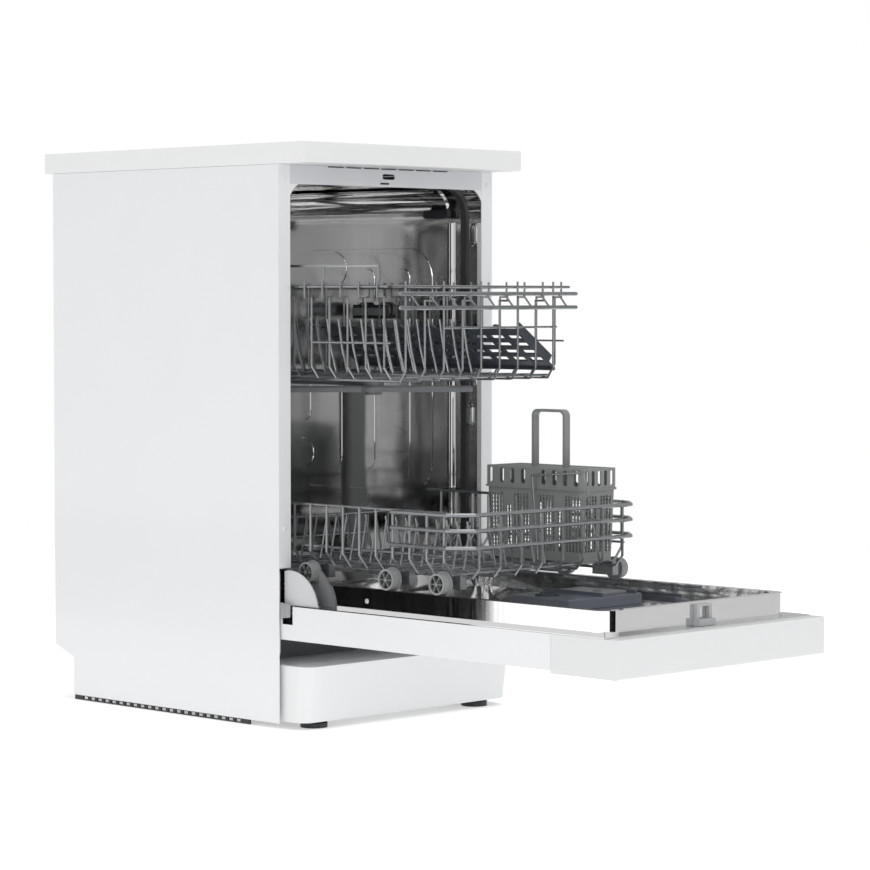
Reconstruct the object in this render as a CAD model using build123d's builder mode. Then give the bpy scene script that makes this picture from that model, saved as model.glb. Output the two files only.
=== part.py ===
from build123d import *
import os

os.makedirs("parts", exist_ok=True)

# A slim freestanding dishwasher, 45 cm class, standing on its feet with the door open flat and both
# racks pulled out. X runs across, the door opens towards -Y, and Z is up from the floor.

# Case
case_width = 445.0
case_depth = 522.0
case_top = 819.3
case_bottom = 8.0
sheet = 0.8
flange_width = 23.2
flange_bottom = 234.0
notch_depth = 46.0
notch_top = 84.0
notch_bottom = 66.0
worktop_width = 448.0
worktop_depth = 600.0
worktop_thick = 30.7
worktop_overhang = 60.0

# Door, as it lies open
door_clear = 4.0
door_width = case_width - 2 * door_clear
door_reach = 650.0
door_tail = 58.0
door_bottom = 131.0
door_top = 180.0
panel_depth = 119.0
panel_drop = 4.0
liner_clear = 6.0
liner_rim = 213.0
liner_end = 608.0
liner_start = 6.0
liner_floor = 184.0
hinge_out = 13.5
hinge_z = 173.5

# The open part spans from the door's far edge to the worktop's rear edge, and its middle is y = 0.
worktop_back = worktop_depth - worktop_overhang
front = (door_reach - worktop_back) / 2
back = front + case_depth

# Tub
tub_clear = 22.5
tub_half = case_width / 2 - tub_clear
mouth_flare = 4.0
tub_mouth_half = tub_half + mouth_flare
liner_half = tub_half - liner_clear
tub_mouth_depth = 74.0
tub_mouth_rise = 2.0
tub_top = 795.0
tub_corner = 42.0
tub_depth = 494.0
tub_floor = 187.0
track_z = 212.7
track_width = 18.0
tub_wall = 1.0

# Wires
rail_wire = 6.0
frame_wire = 4.2
thin_wire = 3.2
weld = 0.6
gap = 0.3
running = 0.08

# Lower rack, as it is pulled out
lower_clear = 14.0
lower_half = tub_half - lower_clear
lower_front = front - 338.0
lower_back = front + 112.0
lower_floor_z = 240.0
lower_top_z = 327.0
wheel_radius = 15.0
wheel_offsets = (-292.0, -191.0, -25.0, 76.0)

# Upper rack, as it is pulled out
upper_clear = 22.0
upper_flare = 14.0
upper_half = tub_half - upper_clear
upper_rim_half = upper_half + upper_flare
upper_front = front - 194.0
upper_back = front + 262.0
upper_floor_z = 511.0
upper_step_z = 627.0
upper_rim_z = 642.0
upper_tip_z = 650.0
runner_z = 607.0
upper_wheel_radius = 12.0
upper_wheel_offsets = (206.0, 252.0)


def across(y):
    """A plane that faces the front, X to the right and Z up, at this y."""
    return Plane.XZ.offset(-y)


def beside(x):
    """A plane that faces right, Y forward and Z up, at this x."""
    return Plane.YZ.offset(x)


def level(z):
    return Plane.XY.offset(z)


def wire(points, diameter, sides=6):
    """One drawn wire through its corner points, with a mitred bend at each."""
    start = Vector(*points[0])
    with BuildPart() as rod:
        with BuildLine() as route:
            Polyline(*points)
        with BuildSketch(Plane(origin=start, z_dir=Vector(*points[1]) - start)):
            RegularPolygon(diameter / 2, sides)
        sweep(path=route.line, transition=Transition.RIGHT)
    return rod.part


def spread(low, high, count):
    """Evenly spaced places from low to high, both ends included."""
    return [low + (high - low) * i / (count - 1) for i in range(count)]


def finish(part, name):
    part.label = name
    export_step(part, f"parts/{name}.step")


# Worktop: a laminated board with an eased front edge.
worktop_ease = 2.5
with BuildPart() as worktop:
    with BuildSketch(level(case_top)):
        with Locations((0, front - worktop_overhang + worktop_depth / 2)):
            Rectangle(worktop_width, worktop_depth)
    extrude(amount=worktop_thick)
    fillet(worktop.faces().sort_by(Axis.Y)[0].edges().filter_by(Axis.X), worktop_ease)
finish(worktop.part, "worktop")

# Side panels: folded sheet with a front flange that is cut away where the door's lower end swings.
half_case = case_width / 2
flange_return = 9.0
return_high = tub_top - tub_corner - flange_bottom - 12.0


def side_outline():
    Polyline(
        (front, case_bottom),
        (back - notch_depth, case_bottom),
        (back - notch_depth, notch_bottom),
        (back, notch_top),
        (back, case_top - gap),
        (front, case_top - gap),
        close=True,
    )


for name, side in (("side_panel_left", -1), ("side_panel_right", 1)):
    with BuildPart() as panel:
        with BuildSketch(beside(side * half_case)):
            with BuildLine():
                side_outline()
            make_face()
        extrude(amount=-side * sheet)
        flange_high = case_top - gap - flange_bottom
        with BuildSketch(across(front)):
            with Locations((side * (half_case - flange_width / 2), flange_bottom + flange_high / 2)):
                Rectangle(flange_width, flange_high)
        extrude(amount=-sheet)
        with BuildSketch(across(front)):
            with Locations((side * (half_case - flange_width + sheet / 2), flange_bottom + return_high / 2)):
                Rectangle(sheet, return_high)
        extrude(amount=-flange_return)
        rear_high = case_top - gap - notch_top
        with BuildSketch(across(back)):
            with Locations((side * (half_case - flange_width / 2), notch_top + rear_high / 2)):
                Rectangle(flange_width, rear_high)
        extrude(amount=sheet)
    finish(panel.part, name)

# Rear panel: a pressed sheet with stiffening ribs, screwed inside the side panels' rear flanges.
rear_bottom = 96.0
rear_top = case_top - 12.0
rear_half = half_case - sheet - gap
rib_depth = 3.0
with BuildPart() as rear_panel:
    with BuildSketch(across(back - sheet - gap)):
        with Locations((0, (rear_bottom + rear_top) / 2)):
            Rectangle(2 * rear_half, rear_top - rear_bottom)
    extrude(amount=sheet)
    with BuildSketch(across(back - 2 * sheet - gap)):
        with Locations((0, (rear_bottom + rear_top) / 2)):
            with GridLocations(110, 0, 3, 1):
                SlotOverall(rear_top - rear_bottom - 120, 24, rotation=90)
    extrude(amount=rib_depth, taper=45)
finish(rear_panel.part, "rear_panel")

# Front crossbar: the pale strip above the tub's mouth, with the latch slot.
bar_half = half_case - flange_width - gap
bar_bottom = tub_top - 4.0
bar_top = case_top - gap
bar_depth = 24.0
bar_lip = 2.0
slot_width = 26.0
slot_height = 8.0
with BuildPart() as front_crossbar:
    with BuildSketch(across(front)):
        with Locations((0, (bar_bottom + bar_top) / 2)):
            Rectangle(2 * bar_half, bar_top - bar_bottom)
        with Locations((0, bar_top - 13)):
            SlotOverall(slot_width, slot_height, mode=Mode.SUBTRACT)
    extrude(amount=-sheet)
    with BuildSketch(across(front + sheet)):
        with Locations((0, bar_top - bar_lip / 2)):
            Rectangle(2 * bar_half, bar_lip)
    extrude(amount=-bar_depth)
finish(front_crossbar.part, "front_crossbar")

# Tub: a deep-drawn stainless box, open at the front, with wheel tracks along its floor.
tub_front = front + sheet + gap
tub_back = front + tub_depth
tub_step = front + tub_mouth_depth
sump_y = front + 262.0
sump_radius = 66.0


def tub_section(half, top, floor, corner, track):
    """The tub seen from the front: round top corners, and a raised track along each side of the floor."""
    ledge = track_z - tub_floor + floor
    left = Line((-half, ledge), (-half, top - corner))
    RadiusArc(left @ 1, (-half + corner, top), corner)
    Line((-half + corner, top), (half - corner, top))
    RadiusArc((half - corner, top), (half, top - corner), corner)
    Polyline(
        (half, top - corner),
        (half, ledge),
        (half - track, ledge),
        (half - track - 8, floor),
        (-half + track + 8, floor),
        (-half + track, ledge),
        (-half, ledge),
    )


tub_passes = (
    (tub_front, tub_step + tub_wall, tub_mouth_half, tub_wall, Mode.ADD),
    (tub_step, tub_back + tub_wall, tub_half, tub_wall, Mode.ADD),
    (tub_front, tub_step, tub_mouth_half, 0.0, Mode.SUBTRACT),
    (tub_step, tub_back, tub_half, 0.0, Mode.SUBTRACT),
)
# Each side wall is stiffened by a raised field with tall pads and round bosses on it: a pad is its y
# behind the front, its low end and its high end, a boss its y, z and radius.
emboss = 1.2
emboss_lean = 30.0
field_y = 270.0
field_z = 512.0
field_long = 328.0
field_high = 384.0
field_corner = 50.0
pad_width = 34.0
pads = ((172.0, 340.0, 673.0), (252.0, 352.0, 673.0), (328.0, 354.0, 620.0), (402.0, 426.0, 620.0))
bosses = ((328.0, 672.0, 28.0), (402.0, 374.0, 24.0))
with BuildPart() as tub:
    for start, stop, half, skin, mode in tub_passes:
        wider = half - tub_half
        higher = tub_mouth_rise if wider else 0.0
        with BuildSketch(across(start)):
            with BuildLine():
                tub_section(
                    half + skin,
                    tub_top + higher + skin,
                    tub_floor - skin,
                    tub_corner + wider + skin,
                    track_width + wider + skin,
                )
            make_face()
        extrude(amount=start - stop, mode=mode)
    with BuildSketch(level(tub_floor - 2 * tub_wall)):
        with Locations((0, sump_y)):
            Circle(sump_radius + gap)
    extrude(amount=3 * tub_wall, mode=Mode.SUBTRACT)
    for side in (-1, 1):
        with BuildSketch(beside(side * (tub_half + tub_wall / 2))):
            with Locations((front + field_y, field_z)):
                RectangleRounded(field_long, field_high, field_corner)
        extrude(amount=-side * (tub_wall / 2 + emboss), taper=emboss_lean)
        with BuildSketch(beside(side * (tub_half - emboss / 2))):
            for y, low, high in pads:
                with Locations((front + y, (low + high) / 2)):
                    SlotOverall(high - low, pad_width, rotation=90)
            for y, z, radius in bosses:
                with Locations((front + y, z)):
                    Circle(radius)
        extrude(amount=-side * (3 * emboss / 2), taper=emboss_lean)
finish(tub.part, "tub")

# Tub seal: a rubber strip up one side of the mouth, over the top and down the other.
seal_thick = 3.2
seal_front = front + 34.0
seal_width = 12.0
seal_bottom = 222.0
seal_top = tub_top + tub_mouth_rise


def arch(half, top, corner, bottom):
    RadiusArc((-half, top - corner), (-half + corner, top), corner)
    Line((-half + corner, top), (half - corner, top))
    RadiusArc((half - corner, top), (half, top - corner), corner)
    Polyline((half, top - corner), (half, bottom), (-half, bottom), (-half, top - corner))


with BuildPart() as tub_seal:
    for inset, bottom, mode in (
        (gap, seal_bottom, Mode.ADD),
        (gap + seal_thick, seal_bottom - 1, Mode.SUBTRACT),
    ):
        with BuildSketch(across(seal_front)):
            with BuildLine():
                arch(tub_mouth_half - inset, seal_top - inset, tub_corner + 4 - inset, bottom)
            make_face()
        extrude(amount=-seal_width, mode=mode)
finish(tub_seal.part, "tub_seal")

# Base tray: the moulded tray that the whole machine stands on, open above, with two lugs that reach
# forward inside the plinth to the front feet and a slotted skirt under each side panel for air.
tray_half = half_case - sheet - gap
tray_front = front + 66.0
tray_back = back - notch_depth - sheet - gap
tray_bottom = 11.0
tray_height = 58.0
tray_wall = 2.5
tray_rib = 9.0
lug_half = 20.0
lug_high = 16.0
foot_x = half_case - 54.5
front_foot_y = front - 15.0
rear_foot_y = back - notch_depth - 42.0
skirt_bottom = 0.8
skirt_thick = 3.0
vent_pitch = 17.0
vent_long = 11.0
vent_high = 4.4
tray_middle = (tray_front + tray_back) / 2
tray_length = tray_back - tray_front
with BuildPart() as base_tray:
    with BuildSketch(level(tray_bottom)):
        with Locations((0, tray_middle)):
            Rectangle(2 * tray_half, tray_length)
    extrude(amount=tray_height)
    with BuildSketch(level(tray_bottom + tray_wall)):
        with Locations((0, tray_middle)):
            Rectangle(2 * (tray_half - tray_wall), tray_length - 2 * tray_wall)
    extrude(amount=tray_height, mode=Mode.SUBTRACT)
    with BuildSketch(level(tray_bottom + tray_wall)):
        with Locations((0, tray_middle)):
            with GridLocations(130, 0, 3, 1):
                Rectangle(tray_wall, tray_length - 2 * tray_wall)
    extrude(amount=tray_rib)
    lug_front = front_foot_y - lug_half - 2
    with BuildSketch(level(tray_bottom)):
        with Locations((0, (lug_front + tray_front) / 2)):
            with GridLocations(2 * foot_x, 0, 2, 1):
                Rectangle(2 * lug_half, tray_front - lug_front)
    extrude(amount=lug_high)
    with BuildSketch(level(skirt_bottom)):
        with Locations((0, tray_middle)):
            with GridLocations(2 * (tray_half - skirt_thick / 2), 0, 2, 1):
                Rectangle(skirt_thick, tray_length)
    extrude(amount=tray_bottom - skirt_bottom)
    with BuildSketch(beside(-half_case)):
        with Locations((tray_middle, (skirt_bottom + case_bottom) / 2)):
            with GridLocations(vent_pitch, 0, int((tray_length - 20) / vent_pitch), 1):
                Rectangle(vent_long, vent_high)
    extrude(amount=2 * half_case, mode=Mode.SUBTRACT)
finish(base_tray.part, "base_tray")

# Counterweight: a cast block on the rear of the tray that keeps the machine from tipping when the
# loaded racks are out.
ballast_width = 300.0
ballast_depth = 88.0
ballast_height = 62.0
ballast_back = tray_back - tray_wall - 4.0
ballast_z = tray_bottom + tray_wall + tray_rib
with BuildPart() as counterweight:
    with BuildSketch(level(ballast_z)):
        with Locations((0, ballast_back - ballast_depth / 2)):
            RectangleRounded(ballast_width, ballast_depth, 8)
    extrude(amount=ballast_height)
    chamfer(counterweight.faces().sort_by(Axis.Z)[-1].edges(), 4)
finish(counterweight.part, "counterweight")

# Levelling feet: four threaded feet under the tray.
foot_radius = 20.0
foot_pad = 7.0
foot_stem = 5.0
with BuildPart() as levelling_feet:
    with BuildSketch(Plane.XY):
        for y in (front_foot_y, rear_foot_y):
            with Locations((-foot_x, y), (foot_x, y)):
                Circle(foot_radius)
    extrude(amount=foot_pad)
    with BuildSketch(level(foot_pad)):
        for y in (front_foot_y, rear_foot_y):
            with Locations((-foot_x, y), (foot_x, y)):
                Circle(foot_stem)
    extrude(amount=tray_bottom - foot_pad)
finish(levelling_feet.part, "levelling_feet")

# Plinth: the white moulded kick strip, with rounded ends and a face that leans in towards the floor.
plinth_half = half_case - 7.0
plinth_low = 11.0
plinth_high = 93.0
plinth_out_top = 54.0
plinth_out_bottom = 43.5
plinth_wall = 2.5
plinth_back = front + 66.0 - gap
plinth_corner = 22.0
with BuildPart() as plinth:
    for outset, drop, mode in ((0.0, 0.0, Mode.ADD), (plinth_wall, plinth_wall, Mode.SUBTRACT)):
        half = plinth_half - outset
        with BuildSketch(level(plinth_low - (1 if outset else 0))) as low_outline:
            depth = plinth_back + plinth_out_bottom - front - outset
            with Locations((0, plinth_back - depth / 2)):
                Rectangle(2 * half, depth)
            fillet(low_outline.vertices().group_by(Axis.Y)[0], plinth_corner)
        with BuildSketch(level(plinth_high - drop)) as high_outline:
            depth = plinth_back + plinth_out_top - front - outset
            with Locations((0, plinth_back - depth / 2)):
                Rectangle(2 * half, depth)
            fillet(high_outline.vertices().group_by(Axis.Y)[0], plinth_corner)
        loft(mode=mode)
finish(plinth.part, "plinth")

# Kick panel: the dark folded sheet behind the plinth that closes the space under the tub.
kick_top = tub_floor - tub_wall - 8.0
kick_y = plinth_back + gap
with BuildPart() as kick_panel:
    with BuildSketch(beside(-plinth_half)):
        with BuildLine():
            Polyline(
                (kick_y, tray_bottom + tray_height + gap),
                (kick_y + 2, tray_bottom + tray_height + gap),
                (kick_y + 2, 128),
                (kick_y + 8, 140),
                (kick_y + 8, kick_top),
                (kick_y + 6.8, kick_top),
                (kick_y + 6.8, 140.4),
                (kick_y, 126),
                close=True,
            )
        make_face()
    extrude(amount=2 * plinth_half)
finish(kick_panel.part, "kick_panel")

# Sump: the moulded well under the tub floor, its rim over the hole and the spray arm's hollow post in it.
sump_depth = 62.0
sump_wall = 3.0
rim_high = 3.0
sump_bore = sump_radius - 8.0
post_radius = 10.0
pin_radius = 5.0
arm_z = 206.0
arm_thick = 9.0
with BuildPart() as sump:
    with BuildSketch(beside(0)):
        with BuildLine():
            Polyline(
                (sump_y, tub_floor - sump_depth),
                (sump_y + sump_radius - gap, tub_floor - sump_depth),
                (sump_y + sump_radius - gap, tub_floor + gap),
                (sump_y + sump_radius + 10, tub_floor + gap),
                (sump_y + sump_radius + 10, tub_floor + gap + rim_high),
                (sump_y + sump_bore, tub_floor + gap + rim_high),
                (sump_y + sump_bore, tub_floor - sump_depth + sump_wall),
                (sump_y + post_radius, tub_floor - sump_depth + sump_wall),
                (sump_y + post_radius, arm_z - gap),
                (sump_y + pin_radius, arm_z - gap),
                (sump_y + pin_radius, arm_z + arm_thick - 2),
                (sump_y, arm_z + arm_thick - 2),
                close=True,
            )
        make_face()
    revolve(axis=Axis((0, sump_y, 0), (0, 0, 1)))
finish(sump.part, "sump")

# Filter cup: the lift-out mesh cup beside the post, with its winged grip.
filter_radius = 21.0
filter_x = post_radius + gap + filter_radius + 2.0
filter_low = tub_floor - sump_depth + sump_wall + gap
filter_wall = 2.0
with BuildPart() as filter_cup:
    with BuildSketch(level(filter_low)):
        with Locations((filter_x, sump_y)):
            Circle(filter_radius)
    extrude(amount=sump_depth - 4)
    with BuildSketch(level(filter_low + filter_wall)):
        with Locations((filter_x, sump_y)):
            Circle(filter_radius - filter_wall)
    extrude(amount=sump_depth, mode=Mode.SUBTRACT)
    with BuildSketch(level(filter_low + sump_depth - 16)):
        with Locations((filter_x, sump_y)):
            Rectangle(2 * filter_radius - 1, 4)
    extrude(amount=16)
finish(filter_cup.part, "filter_cup")

# Salt cap: the screw cap of the softener, in the tub floor at the left.
cap_radius = 27.0
cap_x = -128.0
cap_y = front + 300.0
with BuildPart() as salt_cap:
    with BuildSketch(level(tub_floor + gap)):
        with Locations((cap_x, cap_y)):
            Circle(cap_radius)
    extrude(amount=7)
    with BuildSketch(level(tub_floor + gap + 7)):
        with Locations((cap_x, cap_y)):
            SlotOverall(1.7 * cap_radius, 11)
    extrude(amount=7)
    chamfer(salt_cap.faces().sort_by(Axis.Z)[-1].edges(), 1.5)
finish(salt_cap.part, "salt_cap")

# Spray arms: a blade with round tips on a round hub that turns on a pin.
arm_reach = 150.0
arm_width = 32.0
hub_radius = 24.0


def spray_arm(y, z, twist, bore_deep):
    """An arm with its underside at z, turned about its hub, with a bore up from the underside."""
    with BuildPart() as arm:
        with BuildSketch(level(z)):
            with Locations(Location((0, y, 0), twist)):
                SlotOverall(2 * arm_reach, arm_width)
                Circle(hub_radius)
        extrude(amount=arm_thick)
        chamfer(arm.faces().sort_by(Axis.Z)[-1].edges(), 2.5)
        with BuildSketch(level(z)):
            with Locations((0, y)):
                Circle(pin_radius + running)
        extrude(amount=bore_deep, mode=Mode.SUBTRACT)
    return arm.part


finish(spray_arm(sump_y, arm_z, -48, arm_thick - 1.5), "lower_spray_arm")

# Water duct: the moulded riser on the tub's back wall that feeds the upper arm when the rack is in.
duct_width = 42.0
duct_depth = 13.0
duct_top = 530.0
duct_port = 9.0
port_z = 500.0
duct_face = tub_back - gap - duct_depth
with BuildPart() as water_duct:
    with BuildSketch(across(tub_back - gap)):
        with Locations((0, (tub_floor + duct_top) / 2)):
            SlotOverall(duct_top - tub_floor - 2 * gap, duct_width, rotation=90)
    extrude(amount=duct_depth)
    chamfer(water_duct.faces().sort_by(Axis.Y)[0].edges(), 4)
    with BuildSketch(across(duct_face)):
        with Locations((0, port_z)):
            Circle(duct_port)
            Circle(duct_port - 3, mode=Mode.SUBTRACT)
    extrude(amount=5)
finish(water_duct.part, "water_duct")

# Circulation pump: motor can, pump head and spout, lying in the tray beside the sump.
pump_x = 128.0
pump_z = 112.0
pump_y = sump_y - 10.0
can_radius = 34.0
can_long = 78.0
head_radius = 42.0
head_long = 34.0
with BuildPart() as circulation_pump:
    with BuildSketch(across(pump_y + can_long)):
        with Locations((pump_x, pump_z)):
            Circle(can_radius)
    extrude(amount=can_long)
    with BuildSketch(across(pump_y)):
        with Locations((pump_x, pump_z)):
            Circle(head_radius)
    extrude(amount=head_long)
    with BuildSketch(beside(pump_x - can_radius)):
        with Locations((pump_y - head_long / 2, pump_z + 22)):
            Circle(13)
    extrude(amount=-(pump_x - can_radius - sump_radius - gap))
    with BuildSketch(level(tray_bottom + tray_wall + tray_rib)):
        with Locations((pump_x, pump_y + can_long / 2)):
            Rectangle(40, 30)
    extrude(amount=pump_z - can_radius - tray_bottom - tray_rib)
finish(circulation_pump.part, "circulation_pump")

# Drain pump: a smaller motor on the sump's other side.
drain_z = 140.0
drain_radius = 24.0
with BuildPart() as drain_pump:
    with BuildSketch(beside(-sump_radius - gap)):
        with Locations((sump_y, drain_z)):
            Circle(20)
    extrude(amount=-22)
    with BuildSketch(beside(-sump_radius - gap - 22)):
        with Locations((sump_y, drain_z)):
            Circle(drain_radius)
    extrude(amount=-52)
finish(drain_pump.part, "drain_pump")

# Rear connections: the inlet valve's threaded spigot and the drain spigot stand in the rear notch.
inlet_x = 150.0
drain_spigot_x = -150.0
fitting_z = 40.0
inlet_radius = 13.2
drain_spigot_radius = 9.5
with BuildPart() as inlet_valve:
    with BuildSketch(across(tray_back)):
        with Locations((inlet_x, fitting_z)):
            RectangleRounded(44, 40, 4)
    extrude(amount=-6)
    with BuildSketch(across(tray_back + 6)):
        with Locations((inlet_x, fitting_z)):
            Circle(inlet_radius)
            Circle(7, mode=Mode.SUBTRACT)
    extrude(amount=-22)
finish(inlet_valve.part, "inlet_valve")

with BuildPart() as drain_spigot:
    with BuildSketch(across(tray_back)):
        with Locations((drain_spigot_x, fitting_z)):
            Circle(20)
    extrude(amount=-4)
    with BuildSketch(across(tray_back + 4)):
        with Locations((drain_spigot_x, fitting_z)):
            Circle(drain_spigot_radius)
            Circle(6.5, mode=Mode.SUBTRACT)
    extrude(amount=-30)
finish(drain_spigot.part, "drain_spigot")

# Hinge brackets: pressed plates inside the side panels that hold the door's pins.
axis_y = front - hinge_out
half_door = door_width / 2
arm_x = half_door - 12.0
bracket_thick = 2.0
bracket_x = half_case - sheet - 2 * gap - bracket_thick
pin_r = 5.0
pin_long = bracket_x - arm_x + 0.4
with BuildPart() as hinge_brackets:
    for side in (-1, 1):
        with BuildSketch(beside(side * (bracket_x + bracket_thick))):
            with BuildLine():
                Polyline(
                    (front + 1.2, 110),
                    (front + 62, 96),
                    (front + 62, 215),
                    (front + 20, 228),
                    (front + 1.2, 228),
                    close=True,
                )
            make_face()
        extrude(amount=-side * bracket_thick)
        with BuildSketch(beside(side * (bracket_x + bracket_thick))):
            with BuildLine():
                Polyline(
                    (front + 1.2, hinge_z - 12),
                    (front + 1.2, hinge_z + 12),
                    (axis_y - 8, hinge_z + 9),
                    (axis_y - 8, hinge_z - 9),
                    close=True,
                )
            make_face()
        extrude(amount=-side * bracket_thick)
        with BuildSketch(beside(side * bracket_x)):
            with Locations((axis_y, hinge_z)):
                Circle(pin_r)
        extrude(amount=-side * pin_long)
finish(hinge_brackets.part, "hinge_brackets")

# Door skin: folded sheet, open towards the liner, with its lower end running in under the sill.
skin = 1.0
seam_y = front - door_reach + panel_depth
tail_y = front + door_tail
with BuildPart() as door_outer_panel:
    with BuildSketch(level(door_bottom)):
        with Locations((0, (seam_y + gap + tail_y) / 2)):
            Rectangle(door_width, tail_y - seam_y - gap)
    extrude(amount=door_top - door_bottom)
    with BuildSketch(level(door_bottom + skin)):
        with Locations((0, (seam_y + gap + tail_y) / 2)):
            Rectangle(door_width - 2 * skin, tail_y - seam_y - gap - 2 * skin)
    extrude(amount=door_top - door_bottom, mode=Mode.SUBTRACT)
    with BuildSketch(beside(-half_door)):
        with Locations((axis_y, hinge_z)):
            Rectangle(22, 40)
    extrude(amount=door_width, mode=Mode.SUBTRACT)
    with BuildSketch(beside(-half_door + skin)):
        with Locations((axis_y, door_bottom + skin / 2)):
            Rectangle(26, skin)
    extrude(amount=door_width - 2 * skin)
finish(door_outer_panel.part, "door_outer_panel")

# Control panel: the moulded front with its grip recess, buttons and window, face down while the door is open.
panel_low = door_bottom - panel_drop
panel_wall = 2.6
grip_half = 92.0
grip_depth = 30.0
button_radius = 7.0
button_y = front - door_reach + 78.0
button_x = half_door - 50.5
button_places = {"power_button": -button_x, "start_button": button_x}
window_half = 30.0
with BuildPart() as control_panel:
    with BuildSketch(level(panel_low)):
        with Locations((0, (front - door_reach + seam_y) / 2)):
            Rectangle(door_width, panel_depth)
    extrude(amount=door_top - panel_low)
    chamfer(control_panel.faces().sort_by(Axis.Z)[0].edges().group_by(Axis.Y)[0], 2)
    with BuildSketch(across(front - door_reach + panel_wall)):
        with Locations((0, (panel_low + door_top) / 2)):
            Rectangle(door_width - 2 * panel_wall, door_top - panel_low - 2 * panel_wall)
    extrude(amount=-panel_depth, mode=Mode.SUBTRACT)
    with BuildSketch(level(panel_low)):
        with Locations((0, front - door_reach + 24)):
            RectangleRounded(2 * grip_half + 6, 34, 8)
    extrude(amount=grip_depth)
    with BuildSketch(level(panel_low)):
        with Locations((0, front - door_reach + 24)):
            RectangleRounded(2 * grip_half, 28, 6)
    extrude(amount=grip_depth - panel_wall, mode=Mode.SUBTRACT)
    with BuildSketch(level(panel_low)):
        for x in button_places.values():
            with Locations((x, button_y)):
                Circle(button_radius + gap)
        with Locations((0, button_y)):
            RectangleRounded(2 * window_half, 16, 2)
    extrude(amount=panel_wall, mode=Mode.SUBTRACT)
    with BuildSketch(level(panel_low + 0.6)):
        with Locations((0, button_y)):
            RectangleRounded(2 * window_half, 16, 2)
    extrude(amount=panel_wall - 0.6)
finish(control_panel.part, "control_panel")

# Buttons: short caps with a collar behind the panel.
for name, x in button_places.items():
    with BuildPart() as button:
        with BuildSketch(level(panel_low - 0.8)):
            with Locations((x, button_y)):
                Circle(button_radius)
        extrude(amount=panel_wall + 0.8 + gap)
        with BuildSketch(level(panel_low + panel_wall + gap)):
            with Locations((x, button_y)):
                Circle(button_radius + 2)
        extrude(amount=3)
    finish(button.part, name)

# Door liner: the polished pan inside the door. The lower rack's wheels run on its wide rim, the rim's
# near end is lower between them so that water drains into the tub, and a flange lies over the skin.
rim_width = 13.0
pan_corner = 26.0
pan_lean = 4.0
liner_wall = 1.0
liner_long = liner_end - liner_start
liner_mid = front - (liner_start + liner_end) / 2
latch_y = front - liner_end
pan_half = liner_half - rim_width
pan_long = liner_long - 2 * rim_width
flange_z = door_top + gap
flange_thick = 0.9
flange_half = half_door - 1.6
flange_ahead = 18.0
ledge_z = flange_z + flange_thick
gate_z = liner_rim - 4.0
gate_long = 42.0
with BuildPart() as door_liner:
    with BuildSketch(level(flange_z)):
        with Locations((0, liner_mid)):
            RectangleRounded(2 * liner_half, liner_long, pan_corner)
    extrude(amount=liner_rim - flange_z)
    with BuildSketch(level(flange_z)):
        with Locations((0, liner_mid)):
            RectangleRounded(2 * (liner_half - liner_wall), liner_long - 2 * liner_wall, pan_corner)
    extrude(amount=liner_rim - liner_wall - flange_z, mode=Mode.SUBTRACT)
    gate_y = front - liner_start - gate_long / 2
    with BuildSketch(level(gate_z - liner_wall)):
        with Locations((0, gate_y)):
            Rectangle(2 * (pan_half + liner_wall), gate_long)
    extrude(amount=liner_rim - gate_z + liner_wall)
    flange_far = latch_y - flange_ahead
    flange_near = front + door_tail - 2
    with BuildSketch(level(flange_z)):
        with Locations((0, (flange_far + flange_near) / 2)):
            Rectangle(2 * flange_half, flange_near - flange_far)
        with Locations((0, liner_mid)):
            RectangleRounded(
                2 * (liner_half - liner_wall), liner_long - 2 * liner_wall, pan_corner, mode=Mode.SUBTRACT
            )
    extrude(amount=flange_thick)
    for skin, mode in ((liner_wall, Mode.ADD), (0.0, Mode.SUBTRACT)):
        with BuildSketch(level(liner_floor + liner_wall - skin)):
            with Locations((0, liner_mid)):
                RectangleRounded(
                    2 * (pan_half - pan_lean + skin), pan_long - 2 * (pan_lean - skin), pan_corner - pan_lean
                )
        with BuildSketch(level(liner_rim)):
            with Locations((0, liner_mid)):
                RectangleRounded(2 * (pan_half + skin), pan_long + 2 * skin, pan_corner)
        loft(mode=mode)
    with BuildSketch(level(gate_z)):
        with Locations((0, gate_y + liner_wall)):
            Rectangle(2 * pan_half, gate_long)
    extrude(amount=liner_rim - gate_z, mode=Mode.SUBTRACT)
finish(door_liner.part, "door_liner")

# Hinge arms: steel plates along the door's sides, each with an eye that turns on the bracket's pin.
arm_plate = 3.0
eye_r = 6.7
eye_gap = 0.1
with BuildPart() as hinge_arms:
    for side in (-1, 1):
        with BuildSketch(beside(side * (arm_x + arm_plate))):
            with BuildLine():
                Polyline(
                    (axis_y, hinge_z + eye_r),
                    (axis_y - 95, door_top - 1),
                    (axis_y - 95, door_top - 14),
                    (axis_y, hinge_z - eye_r),
                    close=True,
                )
            make_face()
            with Locations((axis_y, hinge_z)):
                Circle(eye_r)
                Circle(pin_r + eye_gap, mode=Mode.SUBTRACT)
        extrude(amount=-side * arm_plate)
finish(hinge_arms.part, "hinge_arms")

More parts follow.
